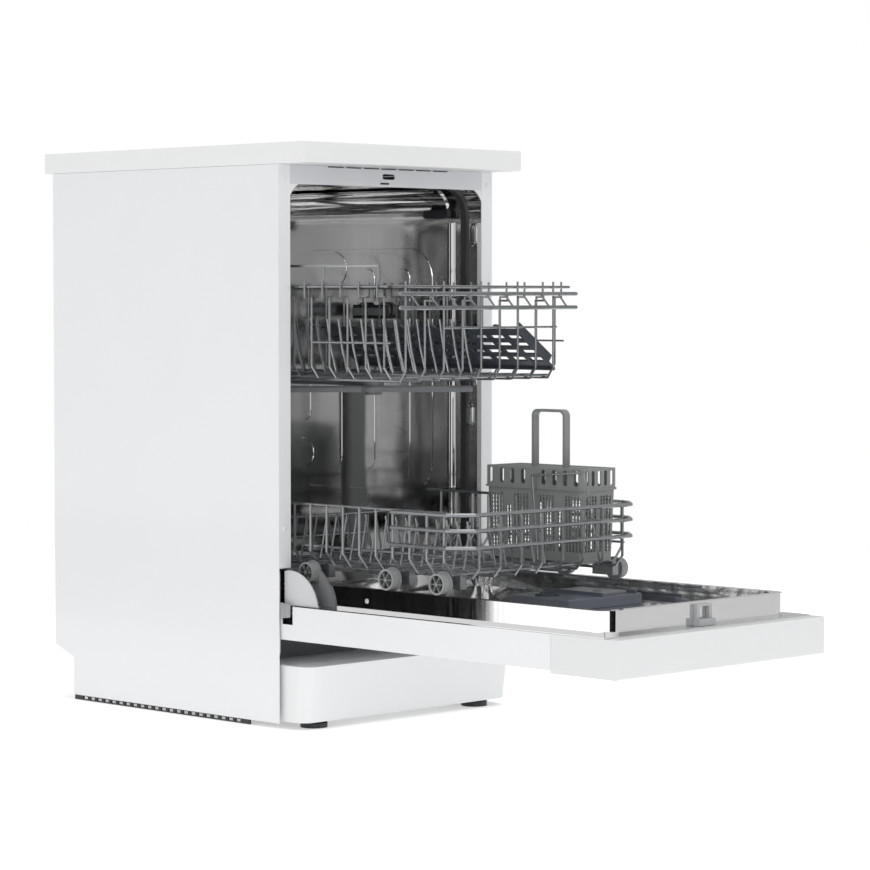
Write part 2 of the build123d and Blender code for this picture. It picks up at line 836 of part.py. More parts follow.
# Hinge covers: quarter discs that close the corner between the open door and the case, each with
# a stepped arc beside the liner.
cover_r = 58.0
cover_x = half_door - 5.5
cover_thick = 2.2
arc_r = 76.0
arc_x = liner_half + gap
arc_thick = 3.0
with BuildPart() as hinge_covers:
    for side in (-1, 1):
        for x, thick, radius, foot in (
            (cover_x, cover_thick, cover_r, front - 1.5),
            (arc_x + arc_thick, arc_thick, arc_r, axis_y - cover_r + 14),
        ):
            with BuildSketch(beside(side * x)):
                with Locations((axis_y, hinge_z)):
                    Circle(radius)
                with Locations((front, 0)):
                    Rectangle(4 * arc_r, ledge_z + gap, align=(Align.CENTER, Align.MIN), mode=Mode.SUBTRACT)
                with Locations((foot, 0)):
                    Rectangle(4 * arc_r, 6 * arc_r, align=(Align.MIN, Align.MIN), mode=Mode.SUBTRACT)
            extrude(amount=-side * thick)
        low = min(side * (arc_x + arc_thick), side * (cover_x - cover_thick))
        high = max(side * (arc_x + arc_thick), side * (cover_x - cover_thick))
        with BuildSketch(level(ledge_z + gap)):
            with Locations(((low + high) / 2, axis_y - 0.62 * cover_r)):
                Rectangle(high - low, 0.5 * cover_r)
        extrude(amount=1.2)
finish(hinge_covers.part, "hinge_covers")

# Door latch: the striker loop at the middle of the liner's far end.
latch_half = 17.0
with BuildPart() as door_latch:
    with BuildSketch(level(ledge_z + gap)):
        with Locations((0, latch_y - 6 - gap)):
            Rectangle(2 * latch_half, 12)
    extrude(amount=9)
    with BuildSketch(level(ledge_z + gap + 9)):
        with Locations((0, latch_y - 3 - gap)):
            with GridLocations(2 * latch_half - 8, 0, 2, 1):
                Rectangle(6, 6)
    extrude(amount=17)
    with BuildSketch(level(ledge_z + gap + 26)):
        with Locations((0, latch_y - 3 - gap)):
            Rectangle(2 * latch_half - 2, 6)
    extrude(amount=3)
finish(door_latch.part, "door_latch")

# Dispenser: the moulded cup for detergent and rinse aid, set in the pan, with a sliding lid.
disp_x = 62.0
disp_y = front - 322.0
disp_half_x = 78.0
disp_half_y = 62.0
disp_z = liner_floor + liner_wall + gap
disp_high = 15.0
cup_half = 31.0
cup_x = disp_x + 30.0
lid_half = cup_half + 3.0
lid_thick = 3.0
guide_wide = 3.0
cap_place = (disp_x - 48.0, disp_y + 12.0)
cap_r = 17.0
with BuildPart() as dispenser:
    with BuildSketch(level(disp_z)):
        with Locations((disp_x, disp_y)):
            RectangleRounded(2 * disp_half_x, 2 * disp_half_y, 8)
    extrude(amount=disp_high)
    chamfer(dispenser.faces().sort_by(Axis.Z)[-1].edges(), 1.5)
    with BuildSketch(level(disp_z + 3)):
        with Locations((cup_x, disp_y)):
            RectangleRounded(2 * cup_half, 2 * cup_half + 16, 5)
    extrude(amount=disp_high, mode=Mode.SUBTRACT)
    with BuildSketch(level(disp_z + disp_high - 5)):
        with Locations(cap_place):
            Circle(cap_r + 1)
    extrude(amount=5, mode=Mode.SUBTRACT)
    with BuildSketch(level(disp_z + disp_high)):
        with Locations((cup_x, disp_y)):
            with GridLocations(2 * (lid_half + gap) + guide_wide, 0, 2, 1):
                Rectangle(guide_wide, 2 * disp_half_y - 8)
    extrude(amount=lid_thick + 2)
finish(dispenser.part, "dispenser")

# Detergent lid: it slides along the door between the dispenser's two guides, pulled by its raised loop.
lid_z = disp_z + disp_high + gap
with BuildPart() as detergent_lid:
    with BuildSketch(level(lid_z)):
        with Locations((cup_x, disp_y)):
            RectangleRounded(2 * lid_half, 2 * cup_half + 24, 4)
    extrude(amount=lid_thick)
    with BuildSketch(level(lid_z + lid_thick)):
        with Locations((cup_x, disp_y - cup_half + 6)):
            RectangleRounded(24, 20, 4)
            RectangleRounded(19, 15, 3, mode=Mode.SUBTRACT)
    extrude(amount=3)
finish(detergent_lid.part, "detergent_lid")

# Rinse aid cap: a quarter-turn cap with a bar grip.
with BuildPart() as rinse_aid_cap:
    with BuildSketch(level(disp_z + disp_high - 5 + gap)):
        with Locations(cap_place):
            Circle(cap_r)
    extrude(amount=7)
    with BuildSketch(level(disp_z + disp_high + 2 + gap)):
        with Locations(cap_place):
            SlotOverall(2 * cap_r - 6, 7)
    extrude(amount=4)
finish(rinse_aid_cap.part, "rinse_aid_cap")

# Upper rack runners: steel channels on the tub's side walls that hold the rack's rear wheels.
runner_depth = 10.4
runner_wall = tub_half - 2 * emboss - gap
runner_sheet = 1.0
runner_front = tub_step + 4.0
runner_back = tub_back - 20.0
channel_half = upper_wheel_radius + gap + runner_sheet
with BuildPart() as rack_runners:
    for side in (-1, 1):
        wall = side * runner_wall
        with BuildSketch(across(runner_front)):
            with BuildLine():
                Polyline(
                    (wall, runner_z - channel_half),
                    (wall - side * runner_depth, runner_z - channel_half),
                    (wall - side * runner_depth, runner_z - channel_half + runner_sheet),
                    (wall - side * runner_sheet, runner_z - channel_half + runner_sheet),
                    (wall - side * runner_sheet, runner_z + channel_half - runner_sheet),
                    (wall - side * runner_depth, runner_z + channel_half - runner_sheet),
                    (wall - side * runner_depth, runner_z + channel_half),
                    (wall, runner_z + channel_half),
                    close=True,
                )
            make_face()
        extrude(amount=-(runner_back - runner_front))
finish(rack_runners.part, "rack_runners")

# Runner stops: black moulded caps on the runners' front ends, and a pair of bumpers higher on the walls.
stop_long = 9.0
bumper_z = 756.0
bumper_high = 13.0
bumper_long = 52.0
bumper_deep = 9.0
bumper_out = tub_half - 1.8
with BuildPart() as runner_stops:
    for side in (-1, 1):
        wall = side * runner_wall
        with BuildSketch(across(runner_front - gap - stop_long)):
            with Locations((wall - side * runner_depth / 2, runner_z)):
                Rectangle(runner_depth, 2 * channel_half + 2)
        extrude(amount=-stop_long)
        with BuildSketch(beside(side * bumper_out)):
            with Locations((tub_step - 9 + bumper_long / 2, bumper_z)):
                RectangleRounded(bumper_long, bumper_high, 4)
        extrude(amount=-side * bumper_deep)
finish(runner_stops.part, "runner_stops")

# Upper rack floor: cross wires with long wires under them.
upper_long_count = 9
upper_cross_count = 12
foot_in = 16.0
stub = 3.0
floor_half = upper_half - foot_in
floor_front = upper_front + foot_in
floor_back = upper_back - foot_in
upper_low_z = upper_floor_z - frame_wire + weld
upper_xs = spread(-floor_half + 8, floor_half - 8, upper_long_count)
upper_ys = spread(floor_front + 5, floor_back - 5, upper_cross_count)
upper_cross_wires = [
    wire([(-floor_half, y, upper_floor_z), (floor_half, y, upper_floor_z)], frame_wire) for y in upper_ys
]
upper_long_wires = [
    wire([(x, floor_front, upper_low_z), (x, floor_back, upper_low_z)], frame_wire) for x in upper_xs
]
with BuildPart() as upper_rack_floor:
    add(upper_cross_wires[0])
    add(upper_long_wires + upper_cross_wires[1:])
finish(upper_rack_floor.part, "upper_rack_floor")

# Upper rack sides: upright wires that step outwards under the rim wire and end in tips above it. At the
# rear a moulded carrier holds the two rollers, and the left side has a guard wire over its front half.
upper_mid_z = 562.0
upper_mid_long = 165.0
guard_z = 672.0
guard_uprights = (0, 3, 6)
axle_r = 3.0
bracket_plate = 6.0
bracket_in = tub_half - 19.8
with BuildPart() as upper_rack_sides:
    for side in (-1, 1):
        x = side * upper_half
        foot = side * floor_half
        rim_x = side * upper_rim_half
        uprights = [
            wire(
                [
                    (foot, y, upper_floor_z),
                    (foot + side * stub, y, upper_floor_z),
                    (x, y, upper_floor_z + foot_in),
                    (x, y, upper_step_z),
                    (rim_x, y, upper_step_z),
                    (rim_x, y, upper_tip_z),
                ],
                thin_wire,
            )
            for y in upper_ys
        ]
        rim_in = rim_x - side * (thin_wire / 2 + frame_wire / 2 - weld)
        mid_x = x + side * (thin_wire - weld)
        rim = wire([(rim_in, upper_front + 2, upper_rim_z), (rim_in, upper_back - 2, upper_rim_z)], frame_wire)
        mid = wire(
            [(mid_x, upper_front + 6, upper_mid_z), (mid_x, upper_front + upper_mid_long, upper_mid_z)],
            thin_wire,
        )
        add(rim)
        add(uprights + [mid])
        if side < 0:
            ends = [upper_ys[number] for number in guard_uprights]
            guard_foot = upper_rim_z + frame_wire / 2 - weld
            guard = wire(
                [
                    (rim_in, ends[0], guard_foot),
                    (rim_in, ends[0], guard_z),
                    (rim_in, ends[-1], guard_z),
                    (rim_in, ends[-1], guard_foot),
                ],
                frame_wire,
            )
            add([guard, wire([(rim_in, ends[1], guard_foot), (rim_in, ends[1], guard_z)], thin_wire)])
        plate_y = front + sum(upper_wheel_offsets) / 2
        with BuildSketch(beside(side * (bracket_in + bracket_plate))):
            with Locations((plate_y, runner_z - 3)):
                Rectangle(76, 22)
        extrude(amount=-side * bracket_plate)
        with BuildSketch(beside(side * bracket_in)):
            with Locations((plate_y, runner_z - 3)):
                Rectangle(76, 12)
        extrude(amount=-side * (bracket_in - upper_half))
        with BuildSketch(beside(side * (bracket_in + bracket_plate))):
            for offset in upper_wheel_offsets:
                with Locations((front + offset, runner_z)):
                    Circle(axle_r)
        extrude(amount=side * (runner_depth - 1.5))
finish(upper_rack_sides.part, "upper_rack_sides")

# Upper rack ends and tines: the front and back hoops rise from the long wires to the rim. At the front
# every other hoop steps forward to the grip, two thick rails with slanting struts between them. Two rows
# of bent tines lie on the floor.
grip_rails = (632.0, 612.0)
grip_step_z = 622.0
grip_ahead = 17.0
end_half = upper_half + 6.0
waist_z = 583.0
tine_pitch = 24.0
tine_count = 17
upper_tine_z = upper_floor_z + frame_wire / 2 + thin_wire / 2 + gap
tine_knee = 36.0
tine_tip = 80.0
with BuildPart() as upper_rack_ends:
    for y, inward in ((upper_front, 1), (upper_back, -1)):
        hoop_y = y + inward * 2
        grip_y = y - grip_ahead
        hoops = []
        for number, x in enumerate(upper_xs):
            foot = [
                (x, y + inward * foot_in, upper_low_z),
                (x, y + inward * (foot_in - stub), upper_low_z),
                (x, hoop_y, upper_low_z + foot_in),
            ]
            top = [(x, hoop_y, upper_tip_z)]
            if inward > 0 and number % 2:
                top = [(x, hoop_y, grip_step_z), (x, grip_y + 3, grip_step_z), (x, grip_y + 3, grip_rails[0])]
            hoops.append(wire(foot + top, thin_wire))
        rim_y = hoop_y - inward * (thin_wire / 2 + frame_wire / 2 - weld)
        rim = wire([(-end_half, rim_y, upper_rim_z), (end_half, rim_y, upper_rim_z)], frame_wire)
        waist_y = hoop_y - inward * (thin_wire - weld)
        waist_ends = (upper_xs[2] - 4, upper_xs[-1] + 4) if inward > 0 else (-end_half, end_half)
        waist = wire([(waist_ends[0], waist_y, waist_z), (waist_ends[1], waist_y, waist_z)], thin_wire)
        add(rim)
        add(hoops + [waist])
        if inward > 0:
            struts = [
                wire([(x - 10, grip_y, grip_rails[0]), (x + 10, grip_y, grip_rails[1])], thin_wire)
                for x in upper_xs
            ]
            grips = [wire([(-end_half, grip_y, z), (end_half, grip_y, z)], rail_wire) for z in grip_rails]
            add(struts + grips)
    for x in (-98.0, 16.0):
        ys = spread(
            (upper_front + upper_back - tine_pitch * (tine_count - 1)) / 2,
            (upper_front + upper_back + tine_pitch * (tine_count - 1)) / 2,
            tine_count,
        )
        rod = wire([(x, ys[0] - 6, upper_tine_z), (x, ys[-1] + 6, upper_tine_z)], thin_wire)
        pegs = [
            wire(
                [
                    (x, y, upper_tine_z),
                    (x - 11, y, upper_tine_z + tine_knee),
                    (x - 19, y, upper_tine_z + tine_tip),
                ],
                thin_wire,
            )
            for y in ys
        ]
        add(rod)
        add(pegs)
finish(upper_rack_ends.part, "upper_rack_ends")

# Cup shelf: a moulded grid with a scalloped edge, hinged along the rack's lower right wire and folded
# part of the way up.
shelf_front = front - 184.0
shelf_back = front + 236.0
shelf_reach = 100.0
shelf_thick = 3.0
shelf_tilt = 35.0
shelf_x = upper_half - 14.0
shelf_z = 521.0
shelf_lip = 14.0
shelf_lip_start = 14.0
shelf_roll = 3.2
shelf_bays = 12
scallop = 11.0
shelf_long = shelf_back - shelf_front
shelf_plane = Plane(origin=(shelf_x, (shelf_front + shelf_back) / 2, shelf_z)).rotated((0, shelf_tilt, 0))
with BuildPart() as cup_shelf:
    bay_long = shelf_long / shelf_bays
    with BuildSketch(shelf_plane):
        with Locations((-shelf_reach / 2, 0)):
            Rectangle(shelf_reach, shelf_long)
        with Locations((-shelf_reach / 2 - 2, 0)):
            with GridLocations(19, bay_long, 4, shelf_bays):
                Rectangle(11, bay_long - 9, mode=Mode.SUBTRACT)
        with Locations((-shelf_reach, 0)):
            with GridLocations(0, 2 * bay_long, 1, shelf_bays // 2):
                Circle(scallop)
    extrude(amount=shelf_thick)
    with BuildSketch(shelf_plane):
        with Locations((-(shelf_reach + shelf_lip_start) / 2, 0)):
            with GridLocations(0, shelf_long - 2.4, 1, 2):
                Rectangle(shelf_reach - shelf_lip_start, 2.4)
    extrude(amount=shelf_lip)
    with BuildSketch(Plane(origin=(shelf_x, shelf_front, shelf_z), x_dir=(1, 0, 0), z_dir=(0, -1, 0))):
        RegularPolygon(shelf_roll, 12)
    extrude(amount=-shelf_long)
finish(cup_shelf.part, "cup_shelf")

# Upper spray feed: the pipe clipped under the rack that docks with the duct when the rack is in.
feed_y = front + 34.0
feed_z = upper_low_z - frame_wire / 2 - gap
feed_half = 9.0
feed_drop = 11.0
feed_back = upper_back + 14.0
hub_z = feed_z - feed_drop
upper_arm_z = hub_z - arm_thick - gap
collar_z = upper_arm_z - gap
with BuildPart() as upper_spray_feed:
    with BuildSketch(level(feed_z)):
        with Locations((0, (feed_y + feed_back) / 2)):
            Rectangle(2 * feed_half, feed_back - feed_y)
        with Locations((0, feed_y)):
            Circle(16)
    extrude(amount=-feed_drop)
    with BuildSketch(level(hub_z)):
        with Locations((0, feed_y)):
            Circle(pin_radius)
    extrude(amount=collar_z - hub_z)
    with BuildSketch(level(collar_z)):
        with Locations((0, feed_y)):
            Circle(13)
    extrude(amount=-4)
finish(upper_spray_feed.part, "upper_spray_feed")

finish(spray_arm(feed_y, upper_arm_z, -42, arm_thick + 1), "upper_spray_arm")

# Upper rack wheels: two on each side, held in the runners.
upper_wheel_width = 7.0
for side, side_name in ((-1, "left"), (1, "right")):
    for offset, place in zip(upper_wheel_offsets, ("front", "rear")):
        with BuildPart() as roller:
            with BuildSketch(beside(side * (bracket_in + bracket_plate + gap))):
                with Locations((front + offset, runner_z)):
                    Circle(upper_wheel_radius)
                    Circle(axle_r + running, mode=Mode.SUBTRACT)
            extrude(amount=side * upper_wheel_width)
        finish(roller.part, f"upper_wheel_{side_name}_{place}")

# Lower rack floor, like the upper one, with the moulded blocks that hold the wheel axles.
lower_long_count = 8
lower_cross_count = 12
lower_foot = 20.0
lower_floor_half = lower_half - lower_foot
lower_xs = spread(-lower_floor_half + 16, lower_floor_half - 16, lower_long_count)
lower_ys = spread(lower_front + lower_foot + 18, lower_back - lower_foot - 18, lower_cross_count)
lower_low_z = lower_floor_z - frame_wire + weld
wheel_z = liner_rim + wheel_radius + gap
block_half = 20.0
block_in = lower_floor_half - 13.0
block_out = lower_floor_half - gap
block_low = wheel_z - 8.0
drum_in = pan_half - 0.6
drum_out = liner_half - 0.6
tine_high = 62.0
rod_z = lower_floor_z + frame_wire / 2 + thin_wire / 2
lower_tine_count = 18
tine_ys = spread(lower_ys[0] + 9, lower_ys[-1] - 9, lower_tine_count)
short_tine_count = 10


def tine_row(x, z, ys, lean, high):
    """Pegs that stand on a rod along Y and lean to one side."""
    rod = wire([(x, ys[0] - 8, z), (x, ys[-1] + 8, z)], thin_wire)
    return [rod] + [wire([(x, y, z), (x + lean, y, z + high)], thin_wire) for y in ys]


with BuildPart() as lower_rack_floor:
    cross_wires = [
        wire([(-lower_floor_half, y, lower_floor_z), (lower_floor_half, y, lower_floor_z)], frame_wire)
        for y in lower_ys
    ]
    long_wires = [
        wire(
            [(x, lower_front + lower_foot, lower_low_z), (x, lower_back - lower_foot, lower_low_z)], frame_wire
        )
        for x in lower_xs
    ]
    add(cross_wires[0])
    add(long_wires + cross_wires[1:])
    with BuildSketch(level(block_low)):
        for offset in wheel_offsets:
            for side in (-1, 1):
                with Locations((side * (block_in + block_out) / 2, front + offset)):
                    Rectangle(block_out - block_in, 2 * block_half)
    extrude(amount=lower_floor_z - block_low)
    for side in (-1, 1):
        with BuildSketch(beside(side * block_out)):
            for offset in wheel_offsets:
                with Locations((front + offset, wheel_z)):
                    Circle(axle_r)
        extrude(amount=side * (drum_out - 2 - block_out))
finish(lower_rack_floor.part, "lower_rack_floor")

# Lower rack sides: upright wires with a top and a middle wire along them.
lower_mid_z = 267.0
with BuildPart() as lower_rack_sides:
    for side in (-1, 1):
        x = side * lower_half
        foot = side * lower_floor_half
        uprights = [
            wire(
                [
                    (foot, y, lower_floor_z),
                    (foot + side * stub, y, lower_floor_z),
                    (x, y, lower_floor_z + lower_foot),
                    (x, y, lower_top_z),
                ],
                frame_wire,
            )
            for y in lower_ys
        ]
        inner = side * (lower_half - frame_wire + weld)
        rails = [
            wire([(inner, lower_front + 30, z), (inner, lower_back - 10, z)], frame_wire)
            for z in (lower_top_z, lower_mid_z)
        ]
        add(rails[0])
        add(uprights + rails[1:])
finish(lower_rack_sides.part, "lower_rack_sides")

# Lower rack ends: the back hoops, and the front hoops under three thick rails that turn the corners.
lower_rails = (325.0, 303.0, 279.0)
rail_side = lower_half + frame_wire / 2 + rail_wire / 2 + gap
rail_reach = 138.0
rail_corner = 28.0
hoop_y = lower_front + rail_wire / 2 + frame_wire / 2 - weld
lower_back_z = 300.0
stay_x = lower_half - 110.0
stay_top = 366.0
with BuildPart() as lower_rack_ends:
    front_hoops = [
        wire(
            [
                (x, lower_front + lower_foot, lower_low_z),
                (x, lower_front + lower_foot - stub, lower_low_z),
                (x, hoop_y, lower_low_z + lower_foot - 6),
                (x, hoop_y, lower_rails[0]),
            ],
            frame_wire,
        )
        for x in lower_xs
    ]
    thick_rails = [
        wire(
            [
                (-rail_side, lower_front + rail_reach, z),
                (-rail_side, lower_front + rail_corner, z),
                (-rail_side + rail_corner, lower_front, z),
                (rail_side - rail_corner, lower_front, z),
                (rail_side, lower_front + rail_corner, z),
                (rail_side, lower_front + rail_reach, z),
            ],
            rail_wire,
        )
        for z in lower_rails
    ]
    back_hoops = [
        wire(
            [
                (x, lower_back - lower_foot, lower_low_z),
                (x, lower_back - lower_foot + stub, lower_low_z),
                (x, lower_back, lower_low_z + lower_foot - 6),
                (x, lower_back, lower_back_z),
            ],
            frame_wire,
        )
        for x in lower_xs
    ]
    back_y = lower_back - frame_wire + weld
    back_wires = [
        wire([(-lower_floor_half, back_y, z), (lower_floor_half, back_y, z)], frame_wire)
        for z in (lower_back_z - 3, lower_mid_z)
    ]
    stay = wire(
        [
            (stay_x + 2, lower_ys[2], rod_z),
            (stay_x, lower_ys[2] + 10, stay_top),
            (stay_x, lower_front + 13, stay_top + 8),
            (lower_xs[-2], lower_front + 11, lower_low_z + 8),
        ],
        thin_wire,
    )
    add(thick_rails[0])
    add(thick_rails[1:] + front_hoops + [stay])
    add(back_wires[0])
    add(back_wires[1:] + back_hoops)
finish(lower_rack_ends.part, "lower_rack_ends")

# Lower rack wheels: a drum that runs on the rim and a deeper flange that keeps it there.
flange_wide = 2.6
wheel_rim = 17.2
face_depth = 5.0
wheel_sides = 32
for side, side_name in ((-1, "left"), (1, "right")):
    for number, offset in enumerate(wheel_offsets, start=1):
        with BuildPart() as wheel:
            with BuildSketch(beside(side * drum_in)):
                with Locations((front + offset, wheel_z)):
                    RegularPolygon(wheel_radius, wheel_sides)
            extrude(amount=side * (drum_out - drum_in))
            with BuildSketch(beside(side * drum_in)):
                with Locations((front + offset, wheel_z)):
                    RegularPolygon(wheel_rim, wheel_sides)
            extrude(amount=-side * flange_wide)
            with BuildSketch(beside(side * drum_out)):
                with Locations((front + offset, wheel_z)):
                    RegularPolygon(wheel_radius - 2.5, wheel_sides)
                    RegularPolygon(axle_r + 3.5, 12, mode=Mode.SUBTRACT)
            extrude(amount=-side * face_depth, mode=Mode.SUBTRACT)
            with BuildSketch(beside(side * (drum_in - flange_wide - 1))):
                with Locations((front + offset, wheel_z)):
                    Circle(axle_r + running)
            extrude(amount=side * (drum_out - drum_in + flange_wide + 2), mode=Mode.SUBTRACT)
        finish(wheel.part, f"lower_wheel_{side_name}_{number}")

# Fixed tines: a long row that leans right and a short, lower one beside the basket, clipped to the floor.
with BuildPart() as fixed_tines:
    long_row = (-lower_half + 48, tine_ys, 13.0, tine_high)
    short_row = (lower_half - 156, tine_ys[:short_tine_count], -12.0, 46.0)
    for x, ys, lean, high in (long_row, short_row):
        fixed_row = tine_row(x, rod_z + gap, ys, lean, high)
        add(fixed_row[0])
        add(fixed_row[1:])
finish(fixed_tines.part, "fixed_tines")

# Folding tines: a third row, on a rod that turns in the floor's clips so that it folds flat.
with BuildPart() as folding_tines:
    fold_row = tine_row(-lower_half + 134, rod_z + gap, tine_ys, -14.0, tine_high)
    add(fold_row[0])
    add(fold_row[1:])
finish(folding_tines.part, "folding_tines")

# Cutlery basket: a tapered moulded box with bays of fine slats between solid pillars, a long slot in
# each outer pillar, and a tall strap handle that stands on its floor.
basket_x = lower_half - 64.0
basket_y = front - 217.0
basket_half_x = 37.0
basket_half_y = 95.0
basket_low = lower_floor_z + frame_wire / 2 + gap
basket_high = 346.0
basket_wall = 2.2
basket_taper = 3.0
basket_round = 6.0
band_low = 14.0
band_high = 8.0
slat_pitch = 6.2
slat_width = 2.2
long_bays = 4
long_bay_pitch = 51.0
long_bay_slots = 5
end_bay_pitch = 31.0
end_bay_slots = 4
pillar_slot = 9.0
pillar_top = 320.0
handle_half = 33.0
handle_top = 462.0
handle_width = 12.0
handle_thick = 4.0


def basket_ring(inset, z):
    with BuildSketch(level(z)) as ring:
        with Locations((basket_x, basket_y)):
            RectangleRounded(2 * (basket_half_x - inset), 2 * (basket_half_y - inset), basket_round)
    return ring.sketch


with BuildPart() as cutlery_basket:
    add(basket_ring(basket_taper, basket_low))
    add(basket_ring(0.0, basket_high))
    loft()
    add(basket_ring(basket_taper + basket_wall, basket_low + basket_wall))
    add(basket_ring(basket_wall, basket_high + 0.01))
    loft(mode=Mode.SUBTRACT)
    slat_low = basket_low + band_low
    slat_high = basket_high - band_high
    with BuildSketch(beside(basket_x - basket_half_x - 1)):
        with Locations((basket_y, (slat_low + slat_high) / 2)):
            with GridLocations(long_bay_pitch, 0, long_bays, 1):
                with GridLocations(slat_pitch, 0, long_bay_slots, 1):
                    Rectangle(slat_pitch - slat_width, slat_high - slat_low)
        with Locations((basket_y, (slat_low + pillar_top) / 2)):
            with GridLocations(2 * long_bay_pitch, 0, 2, 1):
                Rectangle(pillar_slot, pillar_top - slat_low)
    extrude(amount=2 * basket_half_x + 2, mode=Mode.SUBTRACT)
    with BuildSketch(across(basket_y - basket_half_y - 1)):
        with Locations((basket_x, (slat_low + slat_high) / 2)):
            with GridLocations(end_bay_pitch, 0, 2, 1):
                with GridLocations(slat_pitch, 0, end_bay_slots, 1):
                    Rectangle(slat_pitch - slat_width, slat_high - slat_low)
    extrude(amount=-2 * basket_half_y - 2, mode=Mode.SUBTRACT)
    with BuildSketch(beside(basket_x - handle_width / 2)):
        with Locations((basket_y, (basket_low + handle_top) / 2)):
            RectangleRounded(2 * handle_half, handle_top - basket_low, 10)
            RectangleRounded(
                2 * (handle_half - handle_thick),
                handle_top - basket_low - 2 * handle_thick,
                7,
                mode=Mode.SUBTRACT,
            )
    extrude(amount=handle_width)
finish(cutlery_basket.part, "cutlery_basket")

# Basket lid: the slotted cover that keeps each piece of cutlery apart, with a lip over the basket's rim,
# tall slots in its sides and cut-outs for the handle.
lid_low = basket_high + gap
lid_high = 378.0
lid_out = 1.5
lid_wall = 2.0
lid_lip = 1.2
lid_lip_high = 3.0
lid_slot_low = lid_low + 6.0
lid_slot_high = lid_high - lid_wall - 1.0
lid_slot_width = 9.0
lid_slot_pitch = 21.5
lid_end_width = 6.5
lid_end_pitch = 13.5
lid_rows = 14
lid_row_pitch = 13.0
lid_window = 23.0
lid_window_x = 19.0


def lid_ring(outset):
    with Locations((basket_x, basket_y)):
        RectangleRounded(2 * (basket_half_x + outset), 2 * (basket_half_y + outset), basket_round)


with BuildPart() as basket_lid:
    with BuildSketch(level(lid_low)):
        lid_ring(lid_out)
    extrude(amount=lid_high - lid_low)
    with BuildSketch(level(lid_low)):
        lid_ring(lid_out + lid_lip)
    extrude(amount=lid_lip_high)
    with BuildSketch(level(lid_low)):
        lid_ring(lid_out - lid_wall)
    extrude(amount=lid_high - lid_low - lid_wall, mode=Mode.SUBTRACT)
    with BuildSketch(level(lid_high - lid_wall)):
        with Locations((basket_x, basket_y)):
            with GridLocations(2 * lid_window_x, lid_row_pitch, 2, lid_rows):
                Rectangle(lid_window, lid_row_pitch - 4.0)
        for end in (-1, 1):
            with Locations((basket_x, basket_y + end * (handle_half - handle_thick / 2))):
                Rectangle(handle_width + 2 * gap, handle_thick + 2 * gap)
    extrude(amount=lid_wall, mode=Mode.SUBTRACT)
    slot_middle = (lid_slot_low + lid_slot_high) / 2
    with BuildSketch(beside(basket_x - basket_half_x - 2 * lid_out)) as side_slots:
        with Locations((basket_y, slot_middle)):
            with GridLocations(5 * lid_slot_pitch - 2, 0, 2, 1):
                with GridLocations(lid_slot_pitch, 0, 4, 1):
                    Rectangle(lid_slot_width, lid_slot_high - lid_slot_low)
        chamfer(side_slots.vertices().group_by(Axis.Z)[0], 2.5)
    extrude(amount=2 * basket_half_x + 4 * lid_out, mode=Mode.SUBTRACT)
    with BuildSketch(across(basket_y - basket_half_y - 2 * lid_out)) as end_slots:
        with Locations((basket_x, slot_middle)):
            with GridLocations(lid_end_pitch, 0, 5, 1):
                Rectangle(lid_end_width, lid_slot_high - lid_slot_low)
        chamfer(end_slots.vertices().group_by(Axis.Z)[0], 2.0)
    extrude(amount=-2 * basket_half_y - 4 * lid_out, mode=Mode.SUBTRACT)
finish(basket_lid.part, "basket_lid")
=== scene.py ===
import bmesh
import bpy
import math
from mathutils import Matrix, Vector


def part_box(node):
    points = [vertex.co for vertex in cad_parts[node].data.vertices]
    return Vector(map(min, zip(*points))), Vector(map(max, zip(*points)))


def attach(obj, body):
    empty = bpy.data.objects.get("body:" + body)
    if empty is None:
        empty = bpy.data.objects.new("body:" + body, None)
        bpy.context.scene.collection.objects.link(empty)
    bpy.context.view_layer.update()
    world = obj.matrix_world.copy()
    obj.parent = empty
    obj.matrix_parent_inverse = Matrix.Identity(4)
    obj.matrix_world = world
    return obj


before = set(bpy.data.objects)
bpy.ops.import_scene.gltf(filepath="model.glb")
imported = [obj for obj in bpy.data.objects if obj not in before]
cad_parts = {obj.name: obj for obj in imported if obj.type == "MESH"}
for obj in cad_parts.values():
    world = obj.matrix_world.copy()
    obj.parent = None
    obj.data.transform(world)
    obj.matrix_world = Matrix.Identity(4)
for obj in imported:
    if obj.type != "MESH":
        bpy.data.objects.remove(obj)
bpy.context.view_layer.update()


# Camera. A long lens stands low at the machine's front left corner, so that the open door runs out to the
# right and the inner side of the tub's right wall shows. The case's front edges stand at Y = FRONT.
def place_object(name, data):
    piece = bpy.data.objects.new(name, data)
    bpy.context.scene.collection.objects.link(piece)
    return piece


FRONT = 0.055
CAMERA_PLACE = (-3.2164, -3.297 + FRONT, 0.6275)
CAMERA_DIP = 2.569
CAMERA_TURN = -45.15
camera_data = bpy.data.cameras.new("studio_camera")
camera_data.lens = 127.4
camera_data.sensor_width = 36.0
camera = place_object("studio_camera", camera_data)
camera.location = CAMERA_PLACE
camera.rotation_euler = (math.radians(90 - CAMERA_DIP), 0, math.radians(CAMERA_TURN))
bpy.context.scene.camera = camera
bpy.context.scene.view_settings.view_transform = "Standard"


# Studio. A pale seamless floor, a large soft key light at the front left and a fill over the worktop. The
# white surround is darker on the right, and at the front left and front right it has a bright strip
# beside a dark band. The polished tub mirrors these and the low cards on the floor.
def feed(tree, node, inputs):
    """Fills a node's inputs: a socket is linked, and any other value is set."""
    for key, value in inputs.items():
        if isinstance(value, bpy.types.NodeSocket):
            tree.links.new(value, node.inputs[key])
        else:
            node.inputs[key].default_value = value


def add_node(tree, kind, inputs, **settings):
    node = tree.nodes.new("ShaderNode" + kind)
    for setting, value in settings.items():
        setattr(node, setting, value)
    feed(tree, node, inputs)
    return node


